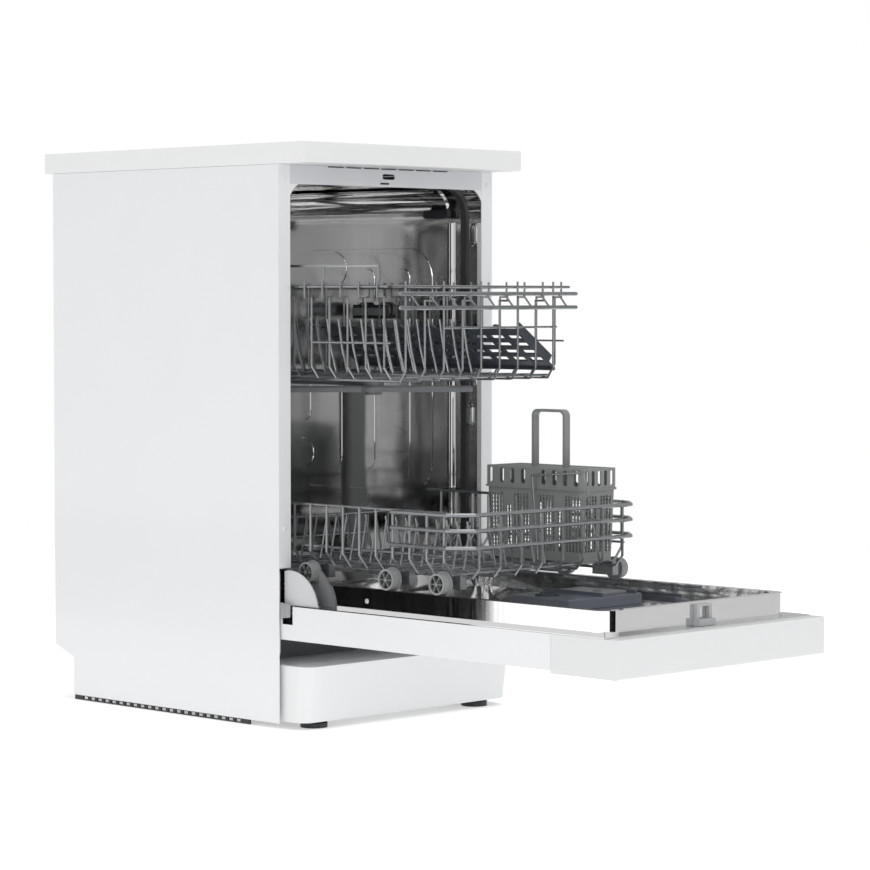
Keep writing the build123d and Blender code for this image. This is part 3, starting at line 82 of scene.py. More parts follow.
def new_material(name):
    material = bpy.data.materials.new(name)
    material.use_nodes = True
    tree = material.node_tree
    return material, tree, tree.nodes["Principled BSDF"]


FLOOR_REACH = 2.9
floor_mesh = bpy.data.meshes.new("studio_floor")
floor_build = bmesh.new()
bmesh.ops.create_grid(floor_build, x_segments=24, y_segments=24, size=FLOOR_REACH)
floor_build.to_mesh(floor_mesh)
floor_build.free()
studio_floor = place_object("studio_floor", floor_mesh)
floor_paper, floor_tree, floor_shader = new_material("floor_paper")
paper_fibre = add_node(floor_tree, "TexNoise", {"Scale": 60.0})
paper_tone = add_node(floor_tree, "ValToRGB", {"Fac": paper_fibre.outputs["Fac"]})
for stop, tone in zip(paper_tone.color_ramp.elements, (0.90, 0.93)):
    stop.color = (tone, tone, tone, 1)
paper_values = {
    "Base Color": paper_tone.outputs["Color"],
    "Roughness": 0.9,
    "Emission Color": (1, 1, 1, 1),
    "Emission Strength": 0.46,
}
feed(floor_tree, floor_shader, paper_values)
floor_mesh.materials.append(floor_paper)

# (place, tone) along the strip, which spans |X| from 0.6 to 0.8: a bright strip, then a dark band
STRIP_SPAN = (0.6, 0.8)
STRIP_TONES = (
    (0.0, 0.5),
    (0.33, 0.42),
    (0.42, 0.5),
    (0.48, 1.0),
    (0.525, 0.1),
    (0.56, 0.02),
    (0.64, 0.02),
    (0.8, 0.5),
)
surround = bpy.data.worlds.new("studio_surround")
surround.use_nodes = True
bpy.context.scene.world = surround
sky_tree = surround.node_tree
sky_tree.nodes.clear()
sky_place = add_node(sky_tree, "TexCoord", {})
sky_parts = add_node(sky_tree, "SeparateXYZ", {"Vector": sky_place.outputs["Generated"]}).outputs
side_span = {"Value": sky_parts["X"], "From Min": -0.3, "From Max": 1.0, "To Min": 1.0, "To Max": 0.55}
sky_side = add_node(sky_tree, "MapRange", side_span, interpolation_type="SMOOTHSTEP")
sky_reach = add_node(sky_tree, "Math", {0: sky_parts["X"]}, operation="ABSOLUTE")
strip_span = {"Value": sky_reach.outputs["Value"], "From Min": STRIP_SPAN[0], "From Max": STRIP_SPAN[1]}
strip_place = add_node(sky_tree, "MapRange", strip_span)
sky_strip = add_node(sky_tree, "ValToRGB", {"Fac": strip_place.outputs["Result"]})
strip_stops = sky_strip.color_ramp.elements
while len(strip_stops) < len(STRIP_TONES):
    strip_stops.new(1.0)
for stop, (spot, tone) in zip(strip_stops, STRIP_TONES):
    stop.position = spot
    stop.color = (tone, tone, tone, 1)
front_span = {"Value": sky_parts["Y"], "From Min": -0.4, "From Max": -0.6}
strip_front = add_node(sky_tree, "MapRange", front_span)
strip_blend = {
    "Factor": strip_front.outputs["Result"],
    "A": (0.5, 0.5, 0.5, 1),
    "B": sky_strip.outputs["Color"],
}
strip_mix = add_node(sky_tree, "Mix", strip_blend, data_type="RGBA")
sky_scale = {"Vector": strip_mix.outputs["Result"], "Scale": sky_side.outputs["Result"]}
sky_total = add_node(sky_tree, "VectorMath", sky_scale, operation="SCALE")
sky_light = add_node(sky_tree, "Background", {"Color": sky_total.outputs["Vector"], "Strength": 1.6})
sky_seen = add_node(sky_tree, "Background", {"Color": (1, 1, 1, 1), "Strength": 1.0})
sky_path = add_node(sky_tree, "LightPath", {})
sky_shaders = {
    "Fac": sky_path.outputs["Is Camera Ray"],
    1: sky_light.outputs["Background"],
    2: sky_seen.outputs["Background"],
}
sky_mix = add_node(sky_tree, "MixShader", sky_shaders)
add_node(sky_tree, "OutputWorld", {"Surface": sky_mix.outputs["Shader"]})


def soft_box(name, place, aim, size, power):
    lamp_data = bpy.data.lights.new(name, "AREA")
    lamp_data.shape = "RECTANGLE"
    lamp_data.size = size
    lamp_data.size_y = size
    lamp_data.energy = power
    lamp = place_object(name, lamp_data)
    lamp.location = place
    lamp.rotation_euler = (Vector(aim) - Vector(place)).to_track_quat("-Z", "Y").to_euler()


soft_box("key_light", (-0.8, -3.6, 2.4), aim=(0, -0.1, 0.4), size=1.8, power=16)
soft_box("top_light", (0.6, 0.2, 3.2), aim=(0, 0, 0.5), size=2.4, power=24)


def low_card(name, tone, start, end, height):
    """A matt card that stands on the floor and shows only in what polished steel mirrors."""
    material, tree, shader = new_material(name)
    feed(tree, shader, {"Base Color": (tone, tone, tone, 1), "Roughness": 1.0, "Specular IOR Level": 0.0})
    mesh = bpy.data.meshes.new(name)
    mesh.from_pydata([(*start, 0), (*end, 0), (*end, height), (*start, height)], [], [(0, 1, 2, 3)])
    mesh.materials.append(material)
    card = place_object(name, mesh)
    card.visible_camera = False
    card.visible_diffuse = False
    card.visible_shadow = False


low_card("side_card", 0.004, start=(-1.056, 0.488), end=(-1.0, 2.0), height=0.2)
low_card("corner_card", 0.004, start=(-0.55, -1.70), end=(0.3, -1.70), height=0.2)
low_card("end_card", 0.6, start=(0.35, -1.75), end=(1.5, -0.9), height=0.3)


# Case. The side panels are folded from sheet steel and powder coated: a smooth gloss white with a faint
# orange peel. The crossbar over the mouth has the same enamel made greyer, as painted shade for the
# worktop's overhang above it, and screws through the flanges hold it.
def mixed_noise(tree, place, scale, detail, stretch=(1, 1, 1)):
    """A noise in object coordinates, stretched along the axes as asked."""
    mapping = add_node(tree, "Mapping", {"Scale": stretch, "Vector": place.outputs["Object"]})
    values = {"Scale": scale, "Detail": detail, "Vector": mapping.outputs["Vector"]}
    return add_node(tree, "TexNoise", values).outputs["Fac"]


def open_group(name, inputs, outputs):
    """Starts a node group, and gives its inputs as sockets to link from and its output node."""
    group = bpy.data.node_groups.new(name, "ShaderNodeTree")
    for way, sockets in (("INPUT", inputs), ("OUTPUT", outputs)):
        for socket, kind in sockets.items():
            group.interface.new_socket(socket, in_out=way, socket_type="NodeSocket" + kind)
    return group, group.nodes.new("NodeGroupInput").outputs, group.nodes.new("NodeGroupOutput")


SURFACE_OUTPUTS = {"Color": "Color", "Roughness": "Float", "Normal": "Vector"}
NOISE_LOW = 0.3
NOISE_HIGH = 0.7


def gloss_between(group, given, noise):
    """Spreads a noise between the group's two roughness values."""
    span = {
        "Value": noise,
        "From Min": NOISE_LOW,
        "From Max": NOISE_HIGH,
        "To Min": given["Roughness Low"],
        "To Max": given["Roughness High"],
    }
    return add_node(group, "MapRange", span).outputs["Result"]


def surface_group():
    """A moulded or coated surface: a tone that drifts, a gloss that smears and a fine grain."""
    numbers = ("Drift", "Grain Scale", "Grain Height", "Roughness Low", "Roughness High")
    inputs = {"Tone": "Color", **{number: "Float" for number in numbers}}
    group, given, end = open_group("surface_drift", inputs, SURFACE_OUTPUTS)
    place = add_node(group, "TexCoord", {})
    lowest = add_node(group, "Math", {0: 1.0, 1: given["Drift"]}, operation="SUBTRACT")
    shade_span = {
        "Value": mixed_noise(group, place, scale=7.0, detail=3.0),
        "From Min": NOISE_LOW,
        "From Max": NOISE_HIGH,
        "To Min": lowest.outputs["Value"],
        "To Max": 1.0,
    }
    shade = add_node(group, "MapRange", shade_span)
    shaded = {"Vector": given["Tone"], "Scale": shade.outputs["Result"]}
    tint = add_node(group, "VectorMath", shaded, operation="SCALE")
    gloss = gloss_between(group, given, mixed_noise(group, place, scale=23.0, detail=5.0))
    grain_values = {"Detail": 2.0, "Vector": place.outputs["Object"], "Scale": given["Grain Scale"]}
    grain = add_node(group, "TexNoise", grain_values)
    relief = {"Distance": 0.0004, "Height": grain.outputs["Fac"], "Strength": given["Grain Height"]}
    bump = add_node(group, "Bump", relief)
    feed(group, end, {"Color": tint.outputs["Vector"], "Roughness": gloss, "Normal": bump.outputs["Normal"]})
    return group


surface_drift = surface_group()


def finished(name, tone, drift, grain, height, rough, metal=0.0, coat=0.0):
    """A coated or moulded finish: the drift group with its own values, then the shader's own sockets."""
    material, tree, shader = new_material(name)
    values = {
        "Tone": (*tone, 1),
        "Drift": drift,
        "Grain Scale": grain,
        "Grain Height": height,
        "Roughness Low": rough[0],
        "Roughness High": rough[1],
    }
    drifted = add_node(tree, "Group", values, node_tree=surface_drift)
    feed(tree, shader, {
        "Base Color": drifted.outputs["Color"],
        "Roughness": drifted.outputs["Roughness"],
        "Normal": drifted.outputs["Normal"],
        "Metallic": metal,
        "Coat Weight": coat,
        "Coat Roughness": 0.08,
    })
    return material


def dress(material, *names):
    """Puts one finish on CAD pieces."""
    for name in names:
        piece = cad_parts[name]
        piece.data.materials.clear()
        piece.data.materials.append(material)


white_enamel = finished(
    "white_enamel", (0.83, 0.84, 0.85), drift=0.012, grain=900.0, height=0.05, rough=(0.28, 0.34), coat=0.25
)
dress(white_enamel, "side_panel_left", "side_panel_right")
# Painted shade: the case's enamel made greyer for the shade under the worktop's overhang.
shaded_bar_enamel = finished(
    "shaded_bar_enamel", (0.66, 0.67, 0.69), drift=0.012, grain=900.0, height=0.05, rough=(0.34, 0.4)
)
dress(shaded_bar_enamel, "front_crossbar")


def settle(name, build, body, material):
    """Turns a bmesh into a piece with its finish that rides on a body."""
    bmesh.ops.remove_doubles(build, verts=build.verts, dist=1e-6)
    bmesh.ops.recalc_face_normals(build, faces=build.faces)
    mesh = bpy.data.meshes.new(name)
    build.to_mesh(mesh)
    build.free()
    mesh.materials.append(material)
    piece = place_object(name, mesh)
    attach(piece, body)


def join_rings(build, rings, closed=True):
    """Spans rows of points with four-sided faces."""
    for low, high in zip(rings, rings[1:]):
        for step in range(len(low) if closed else len(low) - 1):
            after = (step + 1) % len(low)
            build.faces.new((low[step], low[after], high[after], high[step]))


def turned(build, centre, way, profile):
    """Sweeps (radius, height) pairs round an axis through the centre."""
    sides = 28
    turn = Vector((0, 0, 1)).rotation_difference(Vector(way))
    rings = []
    for radius, height in profile:
        ring = []
        for step in range(sides):
            angle = math.tau * step / sides
            spot = Vector((radius * math.cos(angle), radius * math.sin(angle), height))
            ring.append(build.verts.new(Vector(centre) + turn @ spot))
        rings.append(ring)
    join_rings(build, rings)


# a pan head's profile: the rim, the dome and the drive recess
SCREW_HEAD = (
    (0, 0),
    (0.0036, 0),
    (0.0036, 0.0006),
    (0.0029, 0.0013),
    (0.0013, 0.0017),
    (0.0010, 0.0009),
    (0, 0.0009),
)
FLANGE_X = 0.2115
FLANGE_SCREW_HEIGHTS = (0.799, 0.2915)
screws = bmesh.new()
for side in (-1, 1):
    for z in FLANGE_SCREW_HEIGHTS:
        turned(screws, (side * FLANGE_X, FRONT, z), (0, -1, 0), SCREW_HEAD)
settle("flange_screws", screws, "cabinet", white_enamel)


# Crossbar slots. Seven slots under the worktop's front edge let steam out, and a smaller one by the latch
# takes the door switch. On the real sheet they are cut through, and the black filled plastic behind them
# shows. Here black bars sit on the crossbar's face, so their black is also painted shade for the slots'
# depth.
def block(build, low, high):
    """A box between two corners."""
    spans = tuple(zip(low, high))
    corners = [build.verts.new((x, y, z)) for x in spans[0] for y in spans[1] for z in spans[2]]
    for face in ((0, 1, 3, 2), (4, 6, 7, 5), (0, 4, 5, 1), (2, 3, 7, 6), (0, 2, 6, 4), (1, 5, 7, 3)):
        build.faces.new([corners[number] for number in face])


black_plastic = finished(
    "black_plastic", (0.025, 0.026, 0.03), drift=0.12, grain=1000.0, height=0.15, rough=(0.38, 0.5)
)
VENTS = 7
VENT_START = -0.1085
VENT_PITCH = 0.0362
VENT_HALF = 0.0155
VENT_LOW = 0.8166
VENT_HIGH = 0.8183
SWITCH_LOW = (-0.0175, FRONT - 0.0003, 0.7945)
SLOT_BACK = FRONT + 0.001
# Black bars on the crossbar's face: the plastic behind the slots, and painted shade for their depth.
vent_shade = bmesh.new()
for step in range(VENTS):
    x = VENT_START + VENT_PITCH * step
    block(vent_shade, (x - VENT_HALF, FRONT - 0.0004, VENT_LOW), (x + VENT_HALF, SLOT_BACK, VENT_HIGH))
block(vent_shade, SWITCH_LOW, (0.0005, SLOT_BACK, 0.7972))
settle("crossbar_vent_shade", vent_shade, "cabinet", black_plastic)

# Mouth corners. Where the tub's mouth is rounded at the top, small plates of the case's sheet close it
# against the crossbar and the flanges. They are coated white with the case.
CORNER_X = 0.1622
CORNER_Z = 0.7552
CORNER_RADIUS = 0.0415
ARC_START = 27
ARC_SWEEP = 34
ARC_STEPS = 12
MOUTH_X = 0.1992
MOUTH_TOP = 0.7912
PLATE_DEPTHS = (FRONT + 0.0003, FRONT + 0.0009)
corner_plates = bmesh.new()
for side in (-1, 1):
    arc = []
    for step in range(ARC_STEPS + 1):
        angle = math.radians(ARC_START + ARC_SWEEP * step / ARC_STEPS)
        x = side * (CORNER_X + CORNER_RADIUS * math.cos(angle))
        arc.append((x, CORNER_Z + CORNER_RADIUS * math.sin(angle)))
    square = [(arc[-1][0], MOUTH_TOP), (side * MOUTH_X, MOUTH_TOP), (side * MOUTH_X, arc[0][1])]
    loop = square + [point for point in arc if abs(point[0]) < MOUTH_X and point[1] < MOUTH_TOP]
    rings = []
    for depth in PLATE_DEPTHS:
        rings.append([corner_plates.verts.new((x, depth, z)) for x, z in loop])
    corner_plates.faces.new(rings[0])
    corner_plates.faces.new(rings[1][::-1])
    join_rings(corner_plates, rings)
settle("mouth_corners", corner_plates, "cabinet", white_enamel)

# Worktop. A chipboard board with white laminate on all its faces, slightly pearly, with a fine pebbled
# touch. It lies on the side panels and is screwed down from behind.
white_laminate = finished(
    "white_laminate", (0.85, 0.855, 0.86), drift=0.01, grain=1500.0, height=0.12, rough=(0.36, 0.44)
)
dress(white_laminate, "worktop")

# Plinth, control panel and buttons. They are injection moulded in white plastic, a touch softer than the
# enamel, and clip on. The panel is a separate moulding in a slightly greyer batch.
white_plastic = finished(
    "white_plastic", (0.83, 0.84, 0.845), drift=0.01, grain=1100.0, height=0.08, rough=(0.3, 0.38), coat=0.1
)
dress(white_plastic, "plinth", "power_button", "start_button")
panel_plastic = finished(
    "panel_plastic", (0.76, 0.77, 0.775), drift=0.01, grain=1100.0, height=0.08, rough=(0.3, 0.38), coat=0.1
)
dress(panel_plastic, "control_panel")


# Tub and runners. Bright rolled stainless sheet, nearly a mirror: its surface ripples softly, and its
# gloss changes in fine upright lines. The runners are rolled from the same sheet.
def steel_group():
    """A rolled sheet: a tone that blotches, a gloss in fine lines, a soft ripple and the lines' relief."""
    numbers = ("Roughness Low", "Roughness High", "Line Height")
    inputs = {"Bright": "Color", "Dull": "Color", **{number: "Float" for number in numbers}}
    group, given, end = open_group("drawn_steel", inputs, SURFACE_OUTPUTS)
    place = add_node(group, "TexCoord", {})
    lines = mixed_noise(group, place, scale=260.0, detail=2.0, stretch=(1, 1, 0.03))
    blotch = mixed_noise(group, place, scale=5.0, detail=3.0)
    ripple = mixed_noise(group, place, scale=9.0, detail=1.0)
    tones = {"Factor": blotch, "A": given["Bright"], "B": given["Dull"]}
    tone = add_node(group, "Mix", tones, data_type="RGBA")
    wave = add_node(group, "Bump", {"Distance": 0.002, "Strength": 0.1, "Height": ripple})
    relief = {
        "Distance": 0.0002,
        "Height": lines,
        "Strength": given["Line Height"],
        "Normal": wave.outputs["Normal"],
    }
    feed(group, end, {
        "Color": tone.outputs["Result"],
        "Roughness": gloss_between(group, given, lines),
        "Normal": add_node(group, "Bump", relief).outputs["Normal"],
    })
    return group


drawn_steel = steel_group()


def steel(name, bright, dull, rough, line_height):
    """A sheet steel finish: the steel group with its own values, in a full metal."""
    material, tree, shader = new_material(name)
    values = {
        "Bright": (*bright, 1),
        "Dull": (*dull, 1),
        "Roughness Low": rough[0],
        "Roughness High": rough[1],
        "Line Height": line_height,
    }
    drawn = add_node(tree, "Group", values, node_tree=drawn_steel)
    feed(tree, shader, {
        "Base Color": drawn.outputs["Color"],
        "Roughness": drawn.outputs["Roughness"],
        "Normal": drawn.outputs["Normal"],
        "Metallic": 1.0,
    })
    return material


tub_steel = steel(
    "tub_steel", (0.80, 0.80, 0.80), (0.70, 0.70, 0.70), rough=(0.045, 0.065), line_height=0.0
)
dress(tub_steel, "tub", "rack_runners")

# Tub rim. The sheet steps outwards by its own bend just behind the seal, which leaves a bright round edge
# down both sides. Further forward, obround bosses are pressed into the rim to stiffen it.
EDGE_BASE = 0.2041
EDGE_Y = 0.1222
EDGE_HALF = 0.0052
EDGE_RISE = 0.0058
EDGE_HEIGHTS = ((0.148, 0.3), (0.15, 1.0), (0.742, 1.0), (0.744, 0.3))
rim = bmesh.new()
for side in (-1, 1):
    rings = []
    for z, swell in EDGE_HEIGHTS:
        ring = []
        for step in range(9):
            angle = math.pi * step / 8
            x = side * (EDGE_BASE - EDGE_RISE * swell * math.sin(angle))
            ring.append(rim.verts.new((x, EDGE_Y + EDGE_HALF * math.cos(angle), z)))
        rings.append(ring)
    join_rings(rim, rings, closed=False)
    rim.faces.new(rings[0])
    rim.faces.new(rings[-1])
    for low, high in zip(rings, rings[1:]):
        rim.faces.new((low[0], high[0], high[-1], low[-1]))
settle("rim_edge", rim, "cabinet", tub_steel)

RIM_FACE = 0.204
BOSS_RADIUS = 0.0088
BOSS_HALF = 0.0185
BOSS_STRAIGHT = BOSS_HALF - BOSS_RADIUS
BOSS_SPOTS = ((0.0205, 0.7228), (0.0204, 0.5064), (0.029, 0.4453))
BOSS_STEPS = ((0.0, 0.0), (0.0004, 0.0013), (0.0014, 0.0023), (0.003, 0.0026), (0.005, 0.002))
bosses = bmesh.new()
for side in (-1, 1):
    for behind, z in BOSS_SPOTS:
        rings = []
        for inset, rise in BOSS_STEPS:
            radius = BOSS_RADIUS - inset
            x = side * (RIM_FACE - rise)
            ring = []
            for step in range(32):
                angle = math.tau * step / 32
                y = behind + FRONT + radius * math.cos(angle)
                up = BOSS_STRAIGHT if math.sin(angle) >= 0 else -BOSS_STRAIGHT
                ring.append(bosses.verts.new((x, y, z + up + radius * math.sin(angle))))
            rings.append(ring)
        join_rings(bosses, rings)
        bosses.faces.new(rings[0])
        bosses.faces.new(rings[-1])
settle("rim_bosses", bosses, "cabinet", tub_steel)

# Seal. A strip of dark grey rubber runs up one side of the tub's mouth, over the top and down the other,
# in a seat of its own. The door's liner presses on it.
black_rubber = finished(
    "black_rubber", (0.06, 0.061, 0.064), drift=0.15, grain=800.0, height=0.1, rough=(0.3, 0.4)
)
dress(black_rubber, "tub_seal")

# Door. The outer skin is coated sheet like the case's, and the liner is polished stainless sheet. Zinc
# plated pan-head screws go through the liner's sides into the hinge arms.
dress(white_enamel, "door_outer_panel")
liner_steel = steel(
    "liner_steel", (0.90, 0.90, 0.90), (0.84, 0.84, 0.84), rough=(0.04, 0.09), line_height=0.0
)
dress(liner_steel, "door_liner")
screw_zinc = finished(
    "screw_zinc", (0.62, 0.63, 0.64), drift=0.05, grain=900.0, height=0.05, rough=(0.15, 0.25), metal=1.0
)
LINER_LIP = 0.0229
HEAD_SUNK = 0.00005
SCREW_DROP = 0.0175
SCREW_AHEAD = (0.125, 0.21)
liner_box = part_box("door_liner")
liner_x, liner_y, liner_z = liner_box[1]
screws = bmesh.new()
for side in (-1, 1):
    for ahead in SCREW_AHEAD:
        spot = (side * (liner_x - LINER_LIP - HEAD_SUNK), liner_y - ahead, liner_z - SCREW_DROP)
        turned(screws, spot, (side, 0, 0), SCREW_HEAD)
settle("liner_screws", screws, "cabinet", screw_zinc)

# Rear panel and hinge steel. Galvanised sheet, left bare: duller than the tub, with the lines of its
# rolling. The brackets stand inside the side panels and hold the door's pins, and the arms are screwed
# to the door.
zinc_steel = steel("zinc_steel", (0.55, 0.56, 0.57), (0.46, 0.47, 0.48), rough=(0.3, 0.45), line_height=0.3)
dress(zinc_steel, "rear_panel", "hinge_brackets", "hinge_arms")


# Hinge covers. Quarter discs in pale plastic close the corner between the open door and the case. The
# stepped arc beside the liner is moulded in dark grey.
def box_group():
    """A mask: 1 inside a box of object coordinates, on both sides of the middle, and 0 outside."""
    group, given, end = open_group("box_mask", {"Centre": "Vector", "Reach": "Vector"}, {"Mask": "Float"})
    place = add_node(group, "TexCoord", {})
    spot, centre, reach = (
        add_node(group, "SeparateXYZ", {"Vector": source}).outputs
        for source in (place.outputs["Object"], given["Centre"], given["Reach"])
    )
    mirrored = add_node(group, "Math", {0: spot["X"]}, operation="ABSOLUTE").outputs["Value"]
    within = []
    for axis, source in (("X", mirrored), ("Y", spot["Y"]), ("Z", spot["Z"])):
        near = add_node(group, "Math", {0: source, 1: centre[axis], 2: reach[axis]}, operation="COMPARE")
        within.append(near.outputs["Value"])
    level = add_node(group, "Math", {0: within[0], 1: within[1]}, operation="MULTIPLY").outputs["Value"]
    mask = add_node(group, "Math", {0: level, 1: within[2]}, operation="MULTIPLY")
    feed(group, end, {"Mask": mask.outputs["Value"]})
    return group


box_mask = box_group()


def two_finish(material, low, high, tone, rough):
    """Gives one box of a CAD piece a second, moulded finish."""
    tree = material.node_tree
    shader = tree.nodes["Principled BSDF"]
    box = {
        "Centre": [(least + most) / 2 for least, most in zip(low, high)],
        "Reach": [(most - least) / 2 for least, most in zip(low, high)],
    }
    mask = add_node(tree, "Group", box, node_tree=box_mask).outputs["Mask"]
    for socket, value in (("Base Color", (*tone, 1)), ("Roughness", rough), ("Metallic", 0.0)):
        links = shader.inputs[socket].links
        first = links[0].from_socket if links else shader.inputs[socket].default_value
        if first != value:
            kind = "RGBA" if socket == "Base Color" else "FLOAT"
            mix = add_node(tree, "Mix", {"Factor": mask, "A": first, "B": value}, data_type=kind)
            feed(tree, shader, {socket: mix.outputs["Result"]})


ARC_LOW = (0.15, -0.2, 0.1)
ARC_HIGH = (0.203, 0.2, 0.4)
cover_plastic = finished(
    "cover_plastic", (0.62, 0.63, 0.64), drift=0.04, grain=1100.0, height=0.1, rough=(0.34, 0.44)
)
two_finish(cover_plastic, ARC_LOW, ARC_HIGH, tone=(0.16, 0.165, 0.17), rough=0.35)
dress(cover_plastic, "hinge_covers")

# Racks. Drawn steel wire, welded where it crosses and dipped in a clear grey nylon that shines. The
# upper rack's roller carriers are clipped on the wires and moulded in black.
WIRE = {"drift": 0.1, "grain": 700.0, "height": 0.04, "rough": (0.16, 0.26), "metal": 0.85}
WIRE_TONE = (0.36, 0.37, 0.38)
wire_coat = finished("wire_coat", WIRE_TONE, **WIRE)
dress(
    wire_coat,
    "upper_rack_floor",
    "upper_rack_ends",
    "lower_rack_floor",
    "lower_rack_sides",
    "lower_rack_ends",
    "fixed_tines",
    "folding_tines",
)
CARRIER_LOW = (0.1788, 0.244, 0.592)
CARRIER_HIGH = (0.2, 0.325, 0.6165)
carrier_wire = finished("carrier_wire", WIRE_TONE, **WIRE)
two_finish(carrier_wire, CARRIER_LOW, CARRIER_HIGH, tone=(0.02, 0.021, 0.024), rough=0.4)
dress(carrier_wire, "upper_rack_sides")

# Cup shelf, dispenser and rinse aid cap. They are moulded in blue-grey plastic: the shelf and the cap are
# nearly black, and the dispenser's case, which is set into the liner, is lighter.
slate_plastic = finished(
    "slate_plastic", (0.05, 0.06, 0.075), drift=0.1, grain=1200.0, height=0.15, rough=(0.35, 0.45)
)
dress(slate_plastic, "cup_shelf", "rinse_aid_cap")
dispenser_plastic = finished(
    "dispenser_plastic", (0.105, 0.115, 0.14), drift=0.08, grain=1200.0, height=0.12, rough=(0.3, 0.4)
)
dress(dispenser_plastic, "dispenser")

# Basket and detergent lid. They are moulded in mid-grey plastic. Between the basket's upright slats run
# thin level ribs of the same moulding, so that forks don't slip through.
RIBS = 13
FIRST_RIB = 0.0175
RIB_PITCH = 0.0062
RIB_THICK = 0.0011
RIB_OUTER = 0.0005
RIB_INNER = 0.0016
BASKET_HEIGHT = 0.1036
BASKET_LEAN = 0.003
SIDE_BAY = 0.051
SIDE_RIB_HALF = 0.0145
END_BAY = 0.031
END_RIB_HALF = 0.0115
basket_plastic = finished(
    "basket_plastic", (0.26, 0.27, 0.27), drift=0.06, grain=1300.0, height=0.12, rough=(0.4, 0.5)
)
dress(basket_plastic, "cutlery_basket", "basket_lid", "detergent_lid")
basket_low, basket_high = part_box("cutlery_basket")
basket_x = (basket_low[0] + basket_high[0]) / 2
basket_y = (basket_low[1] + basket_high[1]) / 2
lattice = bmesh.new()
for row in range(RIBS):
    z = basket_low[2] + FIRST_RIB + RIB_PITCH * row
    lean = BASKET_LEAN * (1 - (z - basket_low[2]) / BASKET_HEIGHT)
    wall_x = basket_high[0] - basket_x - lean
    wall_y = basket_high[1] - basket_y - lean
    for side in (-1, 1):
        for bay in (-1.5, -0.5, 0.5, 1.5):
            y = basket_y + SIDE_BAY * bay
            xs = sorted(basket_x + side * (wall_x - depth) for depth in (RIB_INNER, RIB_OUTER))
            block(lattice, (xs[0], y - SIDE_RIB_HALF, z), (xs[1], y + SIDE_RIB_HALF, z + RIB_THICK))
        for bay in (-0.5, 0.5):
            x = basket_x + END_BAY * bay
            ys = sorted(basket_y + side * (wall_y - depth) for depth in (RIB_INNER, RIB_OUTER))
            block(lattice, (x - END_RIB_HALF, ys[0], z), (x + END_RIB_HALF, ys[1], z + RIB_THICK))
settle("basket_lattice", lattice, "lower_rack", basket_plastic)

# Water parts. The sump, the filter cup, the upper arm's feed and the spray arms are moulded in a darker
# grey plastic and snap into each other.
water_plastic = finished(
    "water_plastic", (0.20, 0.21, 0.22), drift=0.06, grain=1300.0, height=0.12, rough=(0.4, 0.5)
)
dress(water_plastic, "sump", "filter_cup", "lower_spray_arm", "upper_spray_arm", "upper_spray_feed")

# Wheels. They are moulded in grey plastic that runs quietly on steel. A lower wheel's face has a deep dark
# ring behind six spokes, and a hub cap over its axle. The ring's floor and the disc round the axle are
# painted
# near black: painted shade for the recess behind the spokes.
wheel_plastic = finished(
    "wheel_plastic", (0.30, 0.305, 0.31), drift=0.05, grain=1100.0, height=0.1, rough=(0.34, 0.44)
)
dress(wheel_plastic, *(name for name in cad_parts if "_wheel_" in name))
# Near black, for the well's floor and the disc round the axle: painted shade in the wheel's recess.
recess_shade_plastic = finished(
    "recess_shade_plastic", (0.012, 0.012, 0.014), drift=0.1, grain=1000.0, height=0.15, rough=(0.4, 0.5)
)
spoke_plastic = finished(
    "spoke_plastic", (0.24, 0.245, 0.25), drift=0.06, grain=1100.0, height=0.1, rough=(0.35, 0.45)
)
WELL_DEPTH = 0.0047
WELL_RING = ((0.0066, 0), (0.0123, 0), (0.0123, 0.0004), (0.0066, 0.0004), (0.0066, 0))
HUB_LID = ((0, 0), (0.0066, 0), (0.0066, 0.0003), (0, 0.0003))
HUB_CAP = ((0, 0), (0.0029, 0), (0.0029, 0.0008), (0.0018, 0.0013), (0, 0.0014))
CAP_SUNK = 0.0002
SPOKES = 6
SPOKE_LIFT = 0.0005
SPOKE_PROUD = 0.0006
SPOKE_OUTLINE = ((0.0015, -0.0005), (0.0122, -0.0005), (0.0122, 0.0005), (0.0015, 0.0005))
SPOKE_FACES = ((0, 1, 2, 3), (7, 6, 5, 4), (0, 4, 5, 1), (1, 5, 6, 2), (2, 6, 7, 3), (3, 7, 4, 0))
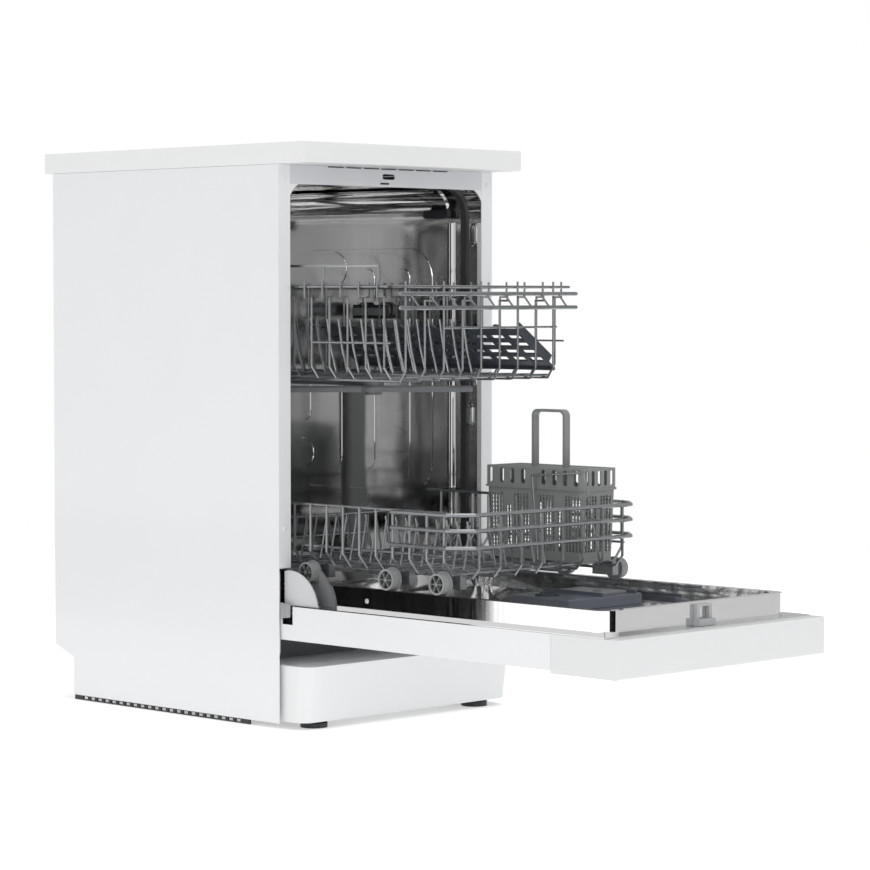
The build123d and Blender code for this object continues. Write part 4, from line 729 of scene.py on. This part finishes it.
for side_name, side in (("left", -1), ("right", 1)):
    for number in (1, 2, 3, 4):
        node = f"lower_wheel_{side_name}_{number}"
        low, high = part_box(node)
        outer = high[0] if side > 0 else low[0]
        y, z = ((low[axis] + high[axis]) / 2 for axis in (1, 2))
        floor_x = outer - side * WELL_DEPTH
        well = bmesh.new()
        turned(well, (floor_x, y, z), (side, 0, 0), WELL_RING)
        turned(well, (outer, y, z), (side, 0, 0), HUB_LID)
        settle(node + "_well", well, node + "_body", recess_shade_plastic)
        spider = bmesh.new()
        for spoke in range(SPOKES):
            angle = math.tau * spoke / SPOKES
            along = Vector((0, math.cos(angle), math.sin(angle)))
            across = Vector((0, -math.sin(angle), math.cos(angle)))
            corners = []
            for x in (floor_x + side * SPOKE_LIFT, outer + side * SPOKE_PROUD):
                for reach, width in SPOKE_OUTLINE:
                    corners.append(spider.verts.new(Vector((x, y, z)) + along * reach + across * width))
            for face in SPOKE_FACES:
                spider.faces.new([corners[corner] for corner in face])
        turned(spider, (outer - side * CAP_SUNK, y, z), (side, 0, 0), HUB_CAP)
        settle(node + "_spider", spider, node + "_body", spoke_plastic)

# Latch, inlet valve, salt cap and water duct. They are small mouldings in pale grey plastic, screwed or
# snapped to the sheet around them.
pale_plastic = finished(
    "pale_plastic", (0.46, 0.47, 0.48), drift=0.05, grain=1100.0, height=0.1, rough=(0.38, 0.48)
)
dress(pale_plastic, "door_latch", "inlet_valve", "salt_cap", "water_duct")

# Base. The tray, the pumps, the feet, the drain spigot and the runners' stops are moulded in black filled
# plastic. The kick panel is a greyer dark grey: partly its own dark colour and partly painted shade for
# its recess under the door.
# Dark grey kick panel: its own dark colour, and painted shade for the recess behind the plinth.
kick_dark_and_shade = finished(
    "kick_dark_and_shade", (0.11, 0.115, 0.125), drift=0.1, grain=500.0, height=0.1, rough=(0.35, 0.5)
)
dress(kick_dark_and_shade, "kick_panel")
dress(
    black_plastic,
    "runner_stops",
    "levelling_feet",
    "base_tray",
    "circulation_pump",
    "drain_pump",
    "drain_spigot",
)

# Counterweight. A rough block of cast iron lies in the tray's rear and keeps the machine from tipping
# when the loaded racks are out on the door.
cast_block = finished(
    "cast_block", (0.10, 0.10, 0.105), drift=0.3, grain=300.0, height=0.6, rough=(0.7, 0.85), metal=0.3
)
dress(cast_block, "counterweight")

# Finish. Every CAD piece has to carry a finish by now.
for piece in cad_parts.values():
    if not any(slot.material for slot in piece.material_slots):
        raise RuntimeError(f"{piece.name} has no finish")
